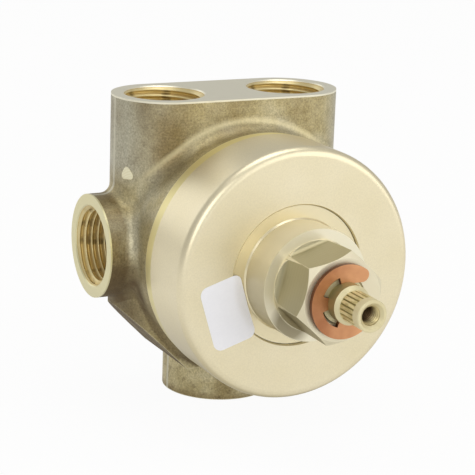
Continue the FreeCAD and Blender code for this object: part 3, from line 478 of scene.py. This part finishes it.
bare = add(tree, "ShaderNodeMath", {0: along, 1: CAP_BACK_EDGE}, operation="GREATER_THAN")
edged = add(tree, "ShaderNodeMix", {
    "Factor": bare, "A": speck, "B": linear("#F3E7AC")}, data_type="RGBA")
rubbed = add(tree, "ShaderNodeMix", {
    "Factor": edge_wear(tree, 0.5 * MM), "A": edged, "B": linear("#F6EFD0")}, data_type="RGBA")
# Painted shade: the lower part of the rounded front rim is darkened.
low_rim = add(tree, "ShaderNodeMapRange", {
    "Value": normal_z, "From Min": -0.1, "From Max": -0.75, "To Max": 0.65})
round_rim = add(tree, "ShaderNodeMapRange", {
    "Value": normal_y, "From Min": -0.97, "From Max": -0.75})
painted_rim_shade = add(tree, "ShaderNodeMath", {0: low_rim, 1: round_rim}, operation="MULTIPLY")
rim_shaded = add(tree, "ShaderNodeMix", {
    "Factor": painted_rim_shade, "A": rubbed, "B": linear("#A3956A")}, data_type="RGBA")
sheen = add(tree, "ShaderNodeMapRange", {"Value": haze, "To Min": 0.33, "To Max": 0.41})
cap_rough = add(tree, "ShaderNodeMix", {
    "Factor": bare, "A": sheen, "B": 0.42}, data_type="FLOAT")
satin = add(tree, "ShaderNodeBump", {"Strength": 0.12, "Distance": 0.04 * MM, "Height": dimple})
close_finish(beaded, add(tree, "ShaderNodeBsdfPrincipled", {
    "Base Color": rim_shaded, "Metallic": 0.9, "Roughness": cap_rough, "Normal": satin}))
dress("front_cap", beaded)


# Label: a small white paper sticker with rounded corners, pressed on the cap's face.
# It reaches over the ring line on to the bonnet's flange and dips gently there. It is left blank.
FACE_FRONT = -43.5 * MM
FLANGE_SUNK = 0.78 * MM
FLANGE_EDGE = 18.3 * MM
DIP_RUN = 4.2 * MM
LABEL_MIDDLE = (-19.28 * MM, 34.81 * MM)
LABEL_WIDE = 11.7 * MM
LABEL_TALL = 17.4 * MM
LABEL_TURN = math.radians(17.2)
LABEL_CORNER = 2.2 * MM
LABEL_THICK = 0.09 * MM
LABEL_GAP = 0.01 * MM
LABEL_SHARP = math.radians(50)
LABEL_RINGS = 26
CORNER_STEPS = 9
SIDE_STEPS = 14
corners = []
for quarter, (sx, sz) in enumerate(((1, 1), (-1, 1), (-1, -1), (1, -1))):
    hub = np.array((sx * (LABEL_WIDE / 2 - LABEL_CORNER), sz * (LABEL_TALL / 2 - LABEL_CORNER)))
    for step in range(CORNER_STEPS):
        a = math.pi / 2 * (quarter + step / (CORNER_STEPS - 1))
        corners.append(hub + LABEL_CORNER * np.array((math.cos(a), math.sin(a))))
outline = []
for i, here in enumerate(corners):
    there = corners[(i + 1) % len(corners)]
    steps = SIDE_STEPS if (i + 1) % CORNER_STEPS == 0 else 1
    outline += [here + (there - here) * step / steps for step in range(steps)]
outline = np.array(outline)
around = len(outline)
rings = [outline * share for share in np.linspace(1, 1 / LABEL_RINGS, LABEL_RINGS)]
sheet = np.concatenate([*rings, np.zeros((1, 2))])
c, s = math.cos(LABEL_TURN), math.sin(LABEL_TURN)
sheet = sheet @ np.array(((c, s), (-s, c))) + np.array(LABEL_MIDDLE)
out = np.hypot(sheet[:, 0], sheet[:, 1] - SPINDLE_HEIGHT)
lean = np.clip((FLANGE_EDGE - out) / DIP_RUN, 0, 1)
drop = FLANGE_SUNK * lean * lean * (3 - 2 * lean)
points = [(x, FACE_FRONT - LABEL_GAP + d - lift, z)
          for lift in (LABEL_THICK, 0) for (x, z), d in zip(sheet, drop)]
faces = []
back = len(sheet)
for row in range(LABEL_RINGS - 1):
    for i in range(around):
        a, b = row * around + i, row * around + (i + 1) % around
        faces.append((a, b, b + around, a + around))
        faces.append((back + b, back + a, back + a + around, back + b + around))
inmost = (LABEL_RINGS - 1) * around
centre = LABEL_RINGS * around
for i in range(around):
    j = (i + 1) % around
    faces.append((inmost + i, inmost + j, centre))
    faces.append((back + inmost + j, back + inmost + i, back + centre))
    faces.append((j, i, back + i, back + j))
mesh = bpy.data.meshes.new("blank_label")
mesh.from_pydata(points, [], faces)
mesh.shade_smooth()
mesh.set_sharp_from_angle(angle=LABEL_SHARP)
label = bpy.data.objects.new("blank_label", mesh)
bpy.context.scene.collection.objects.link(label)

# Coated white paper: cool white, a slight fibre mottle, soft low sheen.
paper = new_finish("coated_white_paper")
tree = paper.node_tree
place = add(tree, "ShaderNodeTexCoord")
fibre = add(tree, "ShaderNodeTexNoise", {
    "Vector": place.outputs["Object"], "Scale": 1 / (0.8 * MM), "Detail": 4})
tone = add(tree, "ShaderNodeMix", {
    "Factor": fibre, "A": linear("#F3F3F8"), "B": linear("#FAFAFE")}, data_type="RGBA")
nap = add(tree, "ShaderNodeBump", {"Strength": 0.1, "Distance": 0.02 * MM, "Height": fibre})
close_finish(paper, add(tree, "ShaderNodeBsdfPrincipled", {
    "Base Color": tone, "Roughness": 0.5, "Normal": nap}))
label.data.materials.append(paper)
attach(label, "housing")


# Bonnet: the turned brass guide that closes the cap and carries the spindle.
# Flange and boss are blasted like the cap; the hexagon's flats are milled afterwards.
HEX_HALF = 10.4 * MM
HEX_TURN = 16.4
FLAT_SKIN = 0.03 * MM
FLANGE_BACK = -43.2 * MM
SHOULDER = -52.7 * MM
# Where the painted shadow on the shoulder lies.
SHOULDER_SHADOW_AT = (-6.6 * MM, SHOULDER, 33.4 * MM)
SHOULDER_SHADOW_REACH = 6.6 * MM
SHOULDER_SHADOW_CORE = 3.6 * MM
RUN_OUT_BACK = -52.85 * MM
RUN_OUT_FRONT = -54.6 * MM

# Bead-blasted brass with milled flats: pale cream round parts with painted shade to olive below,
# smoother flats with cutter lines in a darker olive that is painted dark reflection,
# and painted shade on the lower flats and a painted shadow low on the shoulder.
# Cutter lines are about 0.3 mm apart and drawn at 1.2 mm so that they show.
CUTTER_SPACING = 1.184 * MM
AXIS_BANDS = 20 / (2 * math.pi)  # of a wave texture of scale 1, in one unit
milled = new_finish("bead_blasted_brass_with_milled_flats")
tree = milled.node_tree
place = add(tree, "ShaderNodeTexCoord")
spot = place.outputs["Object"]
_, along, _ = add(tree, "ShaderNodeSeparateXYZ", {0: spot}).outputs
_, normal_y, normal_z = add(tree, "ShaderNodeSeparateXYZ", {0: place.outputs["Normal"]}).outputs
dimple = add(tree, "ShaderNodeTexNoise", {"Vector": spot, "Scale": 1 / DIMPLE, "Detail": 2})
haze = add(tree, "ShaderNodeTexNoise", {"Vector": spot, "Scale": 1 / (10 * MM), "Detail": 3})
lines = add(tree, "ShaderNodeTexWave", {
    "Vector": spot, "Scale": 1 / (AXIS_BANDS * CUTTER_SPACING), "Distortion": 1.5, "Detail": 2},
    bands_direction="Y")

# The milling cutter reached the flats and their slanted run-outs into the boss.
centred = add(tree, "ShaderNodeVectorMath", {
    0: spot, 1: (0, 0, SPINDLE_HEIGHT)}, operation="SUBTRACT")
across_flat = None
for k in range(3):
    angle = math.radians(HEX_TURN + 30 + 60 * k)
    reach = add(tree, "ShaderNodeVectorMath", {
        0: centred, 1: (math.cos(angle), 0, math.sin(angle))}, operation="DOT_PRODUCT")
    wide = add(tree, "ShaderNodeMath", {0: reach}, operation="ABSOLUTE")
    across_flat = wide if across_flat is None else add(
        tree, "ShaderNodeMath", {0: across_flat, 1: wide}, operation="MAXIMUM")
at_depth = add(tree, "ShaderNodeMath", {
    0: across_flat, 1: HEX_HALF, 2: FLAT_SKIN}, operation="COMPARE")
sideways = add(tree, "ShaderNodeMath", {0: normal_y, 1: 0.0, 2: 0.05}, operation="COMPARE")
on_flat = add(tree, "ShaderNodeMath", {0: at_depth, 1: sideways}, operation="MULTIPLY")
before = add(tree, "ShaderNodeMath", {0: along, 1: RUN_OUT_BACK}, operation="LESS_THAN")
behind = add(tree, "ShaderNodeMath", {0: along, 1: RUN_OUT_FRONT}, operation="GREATER_THAN")
forward = add(tree, "ShaderNodeMath", {0: normal_y, 1: -0.05}, operation="LESS_THAN")
band = add(tree, "ShaderNodeMath", {0: before, 1: behind}, operation="MULTIPLY")
run_out = add(tree, "ShaderNodeMath", {0: band, 1: forward}, operation="MULTIPLY")
cutter = add(tree, "ShaderNodeMath", {0: on_flat, 1: run_out}, operation="MAXIMUM")

# The round parts: flange, shoulder and the boss's side, with painted shade on its lower part.
tone = add(tree, "ShaderNodeMix", {
    "Factor": haze, "A": linear("#E4DAB8"), "B": linear("#EEE5CA")}, data_type="RGBA")
flange = add(tree, "ShaderNodeMath", {0: along, 1: FLANGE_BACK}, operation="GREATER_THAN")
flange_tone = add(tree, "ShaderNodeMix", {
    "Factor": flange, "A": tone, "B": linear("#EFE3BE")}, data_type="RGBA")
at_shoulder = add(tree, "ShaderNodeMath", {
    0: along, 1: SHOULDER, 2: 0.1 * MM}, operation="COMPARE")
faced = add(tree, "ShaderNodeMath", {0: normal_y, 1: -0.9}, operation="LESS_THAN")
shoulder = add(tree, "ShaderNodeMath", {0: at_shoulder, 1: faced}, operation="MULTIPLY")
faced_tone = add(tree, "ShaderNodeMix", {
    "Factor": shoulder, "A": flange_tone, "B": linear("#F4EDD3")}, data_type="RGBA")
# Painted shade: the round sides darken towards their undersides.
low_side = add(tree, "ShaderNodeMapRange", {
    "Value": normal_z, "From Min": 0.5, "From Max": -0.7, "To Max": 0.85})
round_side = add(tree, "ShaderNodeMapRange", {
    "Value": normal_y, "From Min": -0.8, "From Max": -0.3})
boss_underside_painted_shade = add(tree, "ShaderNodeMath", {0: low_side, 1: round_side}, operation="MULTIPLY")
turned_tone = add(tree, "ShaderNodeMix", {
    "Factor": boss_underside_painted_shade, "A": faced_tone, "B": linear("#A99D76")}, data_type="RGBA")

# The flats, painted shade on the lower ones and a painted shadow on the shoulder, and the rubbed
# edges.
# Painted dark reflection: the flats take a darker olive than the round parts.
flat_tone = add(tree, "ShaderNodeMix", {
    "Factor": lines, "A": linear("#ADA481"), "B": linear("#B0A784")}, data_type="RGBA")
hex_tone = add(tree, "ShaderNodeMix", {
    "Factor": cutter, "A": turned_tone, "B": flat_tone}, data_type="RGBA")
# Painted shade on the flats that face down, and a painted shadow low on the shoulder.
flats_facing_down = add(tree, "ShaderNodeMapRange", {
    "Value": normal_z, "From Min": -0.3, "From Max": -0.7, "To Max": 0.6})
low_flat_painted_shade = add(tree, "ShaderNodeMath", {0: flats_facing_down, 1: cutter}, operation="MULTIPLY")
off_shoulder_shadow = add(tree, "ShaderNodeVectorMath", {0: spot, 1: SHOULDER_SHADOW_AT}, operation="DISTANCE")
shoulder_shadow_share = add(tree, "ShaderNodeMapRange", {
    "Value": off_shoulder_shadow, "From Min": SHOULDER_SHADOW_REACH, "From Max": SHOULDER_SHADOW_CORE, "To Max": 0.75})
in_front = add(tree, "ShaderNodeMath", {
    0: along, 1: SHOULDER + 0.6 * MM}, operation="LESS_THAN")
shoulder_shadow = add(tree, "ShaderNodeMath", {0: shoulder_shadow_share, 1: in_front}, operation="MULTIPLY")
painted_hex_shade = add(tree, "ShaderNodeMath", {0: low_flat_painted_shade, 1: shoulder_shadow}, operation="MAXIMUM")
hex_shaded = add(tree, "ShaderNodeMix", {
    "Factor": painted_hex_shade, "A": hex_tone, "B": linear("#756741")}, data_type="RGBA")
rubbed = add(tree, "ShaderNodeMix", {
    "Factor": edge_wear(tree, 0.35 * MM), "A": hex_shaded, "B": linear("#F1EACC")},
    data_type="RGBA")
front_rough = add(tree, "ShaderNodeMix", {
    "Factor": faced, "A": 0.55, "B": 0.34}, data_type="FLOAT")
turned_rough = add(tree, "ShaderNodeMix", {
    "Factor": flange, "A": front_rough, "B": 0.25}, data_type="FLOAT")
hex_rough = add(tree, "ShaderNodeMix", {
    "Factor": cutter, "A": turned_rough, "B": 0.4}, data_type="FLOAT")
satin = add(tree, "ShaderNodeBump", {"Strength": 0.12, "Distance": 0.04 * MM, "Height": dimple})
close_finish(milled, add(tree, "ShaderNodeBsdfPrincipled", {
    "Base Color": rubbed, "Metallic": 0.65, "Roughness": hex_rough, "Normal": satin}))
dress("bonnet", milled)


# Spindle: the turned brass rod that a handle drives, with rolled splines and a tapped tip.
# Its solid's hole has the tapping size, and the fine screw thread is drawn as ridges inside it.
TIP_FRONT = -79.45 * MM
SPLINE_RADIUS = 4.0 * MM
SPLINE_BACK = -71.1 * MM
SPLINE_FRONT = -77.05 * MM
TOOTH_EDGE = SPLINE_RADIUS - 0.03 * MM
TOOTH_GAP = SPLINE_RADIUS - 0.16 * MM
SCREW_WALL = 2.5 * MM
SCREW_CREST = 2.15 * MM
SCREW_PITCH = 0.75 * MM
SCREW_MOUTH = 3.2 * MM
SCREW_START = 0.72 * MM
SCREW_END = 11.4 * MM
SCREW_LEAD_IN = 0.75 * MM
# Depths over which painted shade deepens down the tip's hole.
SCREW_DEEP_SHADE_FROM = 1.7 * MM
SCREW_DEEP_SHADE_TO = 4.4 * MM
SCREW_SPOKES = 72

# Bright turned brass: pale yellow with faint rings from the tool, an olive collar,
# and spline teeth that the rolling tore a little, with painted shade in the grooves between them.
# Tool rings are about 0.1 mm apart and drawn at 0.3 mm so that they show.
TOOL_RING_SPACING = 0.3142 * MM
bright_brass = new_finish("bright_turned_brass")
tree = bright_brass.node_tree
place = add(tree, "ShaderNodeTexCoord")
spot = place.outputs["Object"]
_, along, _ = add(tree, "ShaderNodeSeparateXYZ", {0: spot}).outputs
_, normal_y, _ = add(tree, "ShaderNodeSeparateXYZ", {0: place.outputs["Normal"]}).outputs
tool_rings = add(tree, "ShaderNodeTexWave", {
    "Vector": spot, "Scale": 1 / (AXIS_BANDS * TOOL_RING_SPACING), "Distortion": 0.6,
    "Detail": 2}, bands_direction="Y")
haze = add(tree, "ShaderNodeTexNoise", {"Vector": spot, "Scale": 1 / (3 * MM), "Detail": 3})
tone = add(tree, "ShaderNodeMix", {
    "Factor": haze, "A": linear("#D6CA9C"), "B": linear("#E7DDB6")}, data_type="RGBA")
across = add(tree, "ShaderNodeVectorMath", {
    0: spot, 1: (1, 0, 1), 2: (0, 0, -SPINDLE_HEIGHT)}, operation="MULTIPLY_ADD")
far = add(tree, "ShaderNodeVectorMath", {0: across}, operation="LENGTH")
groove = add(tree, "ShaderNodeMapRange", {
    "Value": far, "From Min": TOOTH_EDGE, "From Max": TOOTH_GAP})
splined = add(tree, "ShaderNodeMath", {0: along, 1: SPLINE_BACK}, operation="LESS_THAN")
sideways = add(tree, "ShaderNodeMath", {0: normal_y, 1: 0.0, 2: 0.1}, operation="COMPARE")
before_tip = add(tree, "ShaderNodeMath", {0: along, 1: SPLINE_FRONT}, operation="GREATER_THAN")
rolled_run = add(tree, "ShaderNodeMath", {0: splined, 1: before_tip}, operation="MULTIPLY")
rolled = add(tree, "ShaderNodeMath", {0: rolled_run, 1: sideways}, operation="MULTIPLY")
behind = add(tree, "ShaderNodeMath", {
    0: sideways, 1: splined}, operation="SUBTRACT", use_clamp=True)
collar_toned = add(tree, "ShaderNodeMix", {
    "Factor": behind, "A": tone, "B": linear("#A39664")}, data_type="RGBA")
drawn_out = add(tree, "ShaderNodeVectorMath", {0: spot, 1: (1, 0.3, 1)}, operation="MULTIPLY")
torn = add(tree, "ShaderNodeTexNoise", {
    "Vector": drawn_out, "Scale": 1 / (0.9 * MM), "Detail": 2})
torn_share = add(tree, "ShaderNodeMapRange", {"Value": torn, "From Min": 0.42, "From Max": 0.6})
tooth_tone = add(tree, "ShaderNodeMix", {
    "Factor": torn_share, "A": linear("#EADEA8"), "B": linear("#C9BB80")}, data_type="RGBA")
teeth = add(tree, "ShaderNodeMix", {
    "Factor": rolled, "A": collar_toned, "B": tooth_tone}, data_type="RGBA")
# Painted shade: the grooves between the teeth are darkened.
groove_painted_shade = add(tree, "ShaderNodeMath", {0: groove, 1: rolled}, operation="MULTIPLY")
groove_shaded = add(tree, "ShaderNodeMix", {
    "Factor": groove_painted_shade, "A": teeth, "B": linear("#A29460")}, data_type="RGBA")
gloss = add(tree, "ShaderNodeMapRange", {"Value": haze, "To Min": 0.44, "To Max": 0.56})
tooled = add(tree, "ShaderNodeBump", {
    "Strength": 0.12, "Distance": 0.02 * MM, "Height": tool_rings})
close_finish(bright_brass, add(tree, "ShaderNodeBsdfPrincipled", {
    "Base Color": groove_shaded, "Metallic": 0.6, "Roughness": gloss, "Normal": tooled}))
dress("spindle", bright_brass)

ring = thread_ring("spindle_tip_thread", SCREW_WALL, SCREW_CREST, SCREW_PITCH, SCREW_MOUTH,
                   SCREW_START, SCREW_END, SCREW_SPOKES)
ring.data.materials.append(tapped_brass(
    "oily_tapped_brass", "#C4B583", 7 * MM, 0.6, SCREW_LEAD_IN, SCREW_DEEP_SHADE_FROM, SCREW_DEEP_SHADE_TO))
turned = Vector((0, 1, 0)).to_track_quat("Z", "Y").to_matrix().to_4x4()
ring.matrix_world = Matrix.Translation((0, TIP_FRONT, SPINDLE_HEIGHT)) @ turned
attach(ring, "rotor")


# Retaining clip: the open spring clip that snaps into the spindle's groove before the bonnet.
# It is stamped from phosphor bronze strip, so its edge is sheared.
DARKER_SIDE = -9 * MM
PALER_SIDE = 4 * MM

# Stamped phosphor bronze: copper orange, paler towards one side and in uneven patches, brown on the
# sheared edge.
copper = new_finish("stamped_phosphor_bronze")
tree = copper.node_tree
place = add(tree, "ShaderNodeTexCoord")
spot = place.outputs["Object"]
sideways_at, _, _ = add(tree, "ShaderNodeSeparateXYZ", {0: spot}).outputs
_, normal_y, _ = add(tree, "ShaderNodeSeparateXYZ", {0: place.outputs["Normal"]}).outputs
heat = add(tree, "ShaderNodeTexNoise", {"Vector": spot, "Scale": 1 / (5 * MM), "Detail": 3})
one_side = add(tree, "ShaderNodeMapRange", {
    "Value": sideways_at, "From Min": DARKER_SIDE, "From Max": PALER_SIDE, "To Max": 0.75})
uneven = add(tree, "ShaderNodeMapRange", {
    "Value": heat, "From Min": 0.35, "From Max": 0.65, "To Max": 0.35})
blush = add(tree, "ShaderNodeMath", {0: one_side, 1: uneven}, operation="ADD")
tone = add(tree, "ShaderNodeMix", {
    "Factor": blush, "A": linear("#A86C49"), "B": linear("#E5AB7C")}, data_type="RGBA")
lying = add(tree, "ShaderNodeMath", {0: normal_y}, operation="ABSOLUTE")
sheared = add(tree, "ShaderNodeMapRange", {"Value": lying, "From Min": 0.7, "From Max": 0.3})
edged = add(tree, "ShaderNodeMix", {
    "Factor": sheared, "A": tone, "B": linear("#6E452C")}, data_type="RGBA")
rolled = add(tree, "ShaderNodeTexNoise", {"Vector": spot, "Scale": 1 / (0.5 * MM), "Detail": 2})
strip = add(tree, "ShaderNodeBump", {"Strength": 0.1, "Distance": 0.03 * MM, "Height": rolled})
close_finish(copper, add(tree, "ShaderNodeBsdfPrincipled", {
    "Base Color": edged, "Metallic": 0.9, "Roughness": 0.4, "Normal": strip}))
dress("retaining_clip", copper)


# Seals: moulded rings round the spindle, the bonnet, the cap and each hole of the chamber's floor.
# They are pressed into their grooves when the valve is put together.
# Nitrile rubber: black, dull, with a faint bloom.
rubber = new_finish("moulded_nitrile_rubber")
tree = rubber.node_tree
place = add(tree, "ShaderNodeTexCoord")
bloom = add(tree, "ShaderNodeTexNoise", {
    "Vector": place.outputs["Object"], "Scale": 1 / (1.5 * MM), "Detail": 4})
tone = add(tree, "ShaderNodeMix", {
    "Factor": bloom, "A": linear("#1B1B1A"), "B": linear("#32312E")}, data_type="RGBA")
pore = add(tree, "ShaderNodeBump", {"Strength": 0.15, "Distance": 0.03 * MM, "Height": bloom})
close_finish(rubber, add(tree, "ShaderNodeBsdfPrincipled", {
    "Base Color": tone, "Roughness": 0.6, "Normal": pore}))
for node in ("cap_ring", "bonnet_ring", "inlet_seal", "outlet_seal_right", "outlet_seal_top_right",
             "outlet_seal_top_left", "outlet_seal_left", "spindle_ring_first",
             "spindle_ring_second"):
    dress(node, rubber)


# Discs: the fixed and the turning disc, pressed and sintered alumina with lapped faces.
# The turning one slides on the other and joins the inlet to one outlet.
# Sintered alumina: off-white, very fine and even, with a dull polish.
alumina = new_finish("lapped_alumina")
tree = alumina.node_tree
place = add(tree, "ShaderNodeTexCoord")
body_grain = add(tree, "ShaderNodeTexNoise", {
    "Vector": place.outputs["Object"], "Scale": 1 / (0.7 * MM), "Detail": 4})
tone = add(tree, "ShaderNodeMix", {
    "Factor": body_grain, "A": linear("#E6E2D8"), "B": linear("#F2EFE8")}, data_type="RGBA")
lapped = add(tree, "ShaderNodeBump", {
    "Strength": 0.06, "Distance": 0.02 * MM, "Height": body_grain})
close_finish(alumina, add(tree, "ShaderNodeBsdfPrincipled", {
    "Base Color": tone, "Roughness": 0.3, "IOR": 1.76, "Normal": lapped}))
for node in ("fixed_disc", "rotor_disc"):
    dress(node, alumina)


# Driver and thrust washer: acetal mouldings between the spindle, the turning disc and the bonnet.
# The driver's slot takes the spindle's tongue, and its cam meets the stop pin at either end.
# Moulded acetal: milky white, a little waxy.
acetal = new_finish("moulded_acetal")
tree = acetal.node_tree
place = add(tree, "ShaderNodeTexCoord")
flow = add(tree, "ShaderNodeTexNoise", {
    "Vector": place.outputs["Object"], "Scale": 1 / (5 * MM), "Detail": 3})
tone = add(tree, "ShaderNodeMix", {
    "Factor": flow, "A": linear("#DAD8D0"), "B": linear("#E8E6DF")}, data_type="RGBA")
texture = add(tree, "ShaderNodeBump", {"Strength": 0.08, "Distance": 0.03 * MM, "Height": flow})
close_finish(acetal, add(tree, "ShaderNodeBsdfPrincipled", {
    "Base Color": tone, "Roughness": 0.42, "IOR": 1.48, "Normal": texture}))
for node in ("disc_driver", "thrust_washer"):
    dress(node, acetal)


# Pins: ground stainless dowels, two that hold the fixed disc and one that stops the driver.
# Each is pressed into its hole.
# Ground stainless steel: cool grey with a fine even grain.
dowel = new_finish("ground_stainless_steel")
tree = dowel.node_tree
place = add(tree, "ShaderNodeTexCoord")
steel_grain = add(tree, "ShaderNodeTexNoise", {
    "Vector": place.outputs["Object"], "Scale": 1 / (0.4 * MM), "Detail": 2})
tone = add(tree, "ShaderNodeMix", {
    "Factor": steel_grain, "A": linear("#B4B6B8"), "B": linear("#CFD1D3")}, data_type="RGBA")
fine = add(tree, "ShaderNodeBump", {
    "Strength": 0.08, "Distance": 0.02 * MM, "Height": steel_grain})
close_finish(dowel, add(tree, "ShaderNodeBsdfPrincipled", {
    "Base Color": tone, "Metallic": 1.0, "Roughness": 0.28, "Normal": fine}))
for node in ("disc_pins", "stop_pin"):
    dress(node, dowel)


# Studio: a wide pale floor under the inlet's mouth, four soft lamps and a grey room.
# The floor shows white to the eye and in the metal, and keeps the valve's shadow.
FLOOR_REACH = 6.0
FLOOR_GAP = 0.02 * MM
WHITE_SEEN = 0.95
WHITE_IN_METAL = 0.65
ROOM_LIGHT = 0.5
LAMPS_AIM = Vector((0, -30 * MM, SPINDLE_HEIGHT))
floor_mesh = bpy.data.meshes.new("studio_floor")
floor_corners = [(x * FLOOR_REACH, y * FLOOR_REACH, -FLOOR_GAP)
                 for x, y in ((-1, -1), (1, -1), (1, 1), (-1, 1))]
floor_mesh.from_pydata(floor_corners, [], [(0, 1, 2, 3)])
floor = bpy.data.objects.new("studio_floor", floor_mesh)
bpy.context.scene.collection.objects.link(floor)

# White paper sweep: matt and pale, lit enough to show white.
paper_floor = new_finish("white_paper_sweep")
tree = paper_floor.node_tree
rays = add(tree, "ShaderNodeLightPath").outputs
seen = add(tree, "ShaderNodeMath", {
    0: rays["Is Camera Ray"], 1: WHITE_SEEN}, operation="MULTIPLY")
mirrored = add(tree, "ShaderNodeMath", {
    0: rays["Is Glossy Ray"], 1: rays["Is Transmission Ray"]}, operation="MAXIMUM")
in_metal = add(tree, "ShaderNodeMath", {0: mirrored, 1: WHITE_IN_METAL}, operation="MULTIPLY")
share = add(tree, "ShaderNodeMath", {0: seen, 1: in_metal}, operation="MAXIMUM")
matt = add(tree, "ShaderNodeBsdfDiffuse", {"Color": linear("#E4E3E0")})
white = add(tree, "ShaderNodeEmission", {"Color": linear("#FFFFFF"), "Strength": 1.0})
close_finish(paper_floor, add(tree, "ShaderNodeMixShader", {0: share, 1: matt, 2: white}))
floor.data.materials.append(paper_floor)

room = bpy.data.worlds.new("studio_room")
room.use_nodes = True
walls = room.node_tree.nodes["Background"].inputs
walls["Color"].default_value = linear("#FFFFFF")
walls["Strength"].default_value = ROOM_LIGHT
bpy.context.scene.world = room

for name, stand, size, power in (
    ("key_softbox", (1.0, -1.25, 0.35), 1.8, 12.0),
    ("back_softbox", (-0.6, 1.5, 0.72), 1.2, 3.3),
    ("top_softbox", (0.1, -0.15, 1.35), 0.9, 5.0),
    ("fill_softbox", (-0.7, -1.15, 0.6), 0.8, 4.2),
):
    lamp = bpy.data.lights.new(name, "AREA")
    lamp.size = size
    lamp.energy = power
    lamp_object = bpy.data.objects.new(name, lamp)
    bpy.context.scene.collection.objects.link(lamp_object)
    lamp_object.location = stand
    towards = (LAMPS_AIM - Vector(stand)).to_track_quat("-Z", "Y")
    lamp_object.rotation_euler = towards.to_euler()


# Camera: stands left of the spindle and a little above it, as in the photograph.
# Its lens gives a focal length of 1700 pixels in a frame 475 pixels wide.
EYE = Vector((-0.201428, -0.399215, 0.160978))
RIGHT = Vector((0.891843, -0.451016, 0.034647))
UP = Vector((0.086716, 0.245641, 0.965475))
BACK = Vector((-0.443955, -0.858047, 0.258183))
SENSOR_WIDE = 36
LENS = 128.842
NEAR_CLIP = 0.01
camera = bpy.data.objects.new("camera", bpy.data.cameras.new("camera"))
bpy.context.scene.collection.objects.link(camera)
camera.data.sensor_width = SENSOR_WIDE
camera.data.lens = LENS
camera.data.clip_start = NEAR_CLIP
camera.matrix_world = Matrix.Translation(EYE) @ Matrix((RIGHT, UP, BACK)).transposed().to_4x4()
bpy.context.scene.camera = camera
bpy.context.scene.view_settings.view_transform = "Standard"
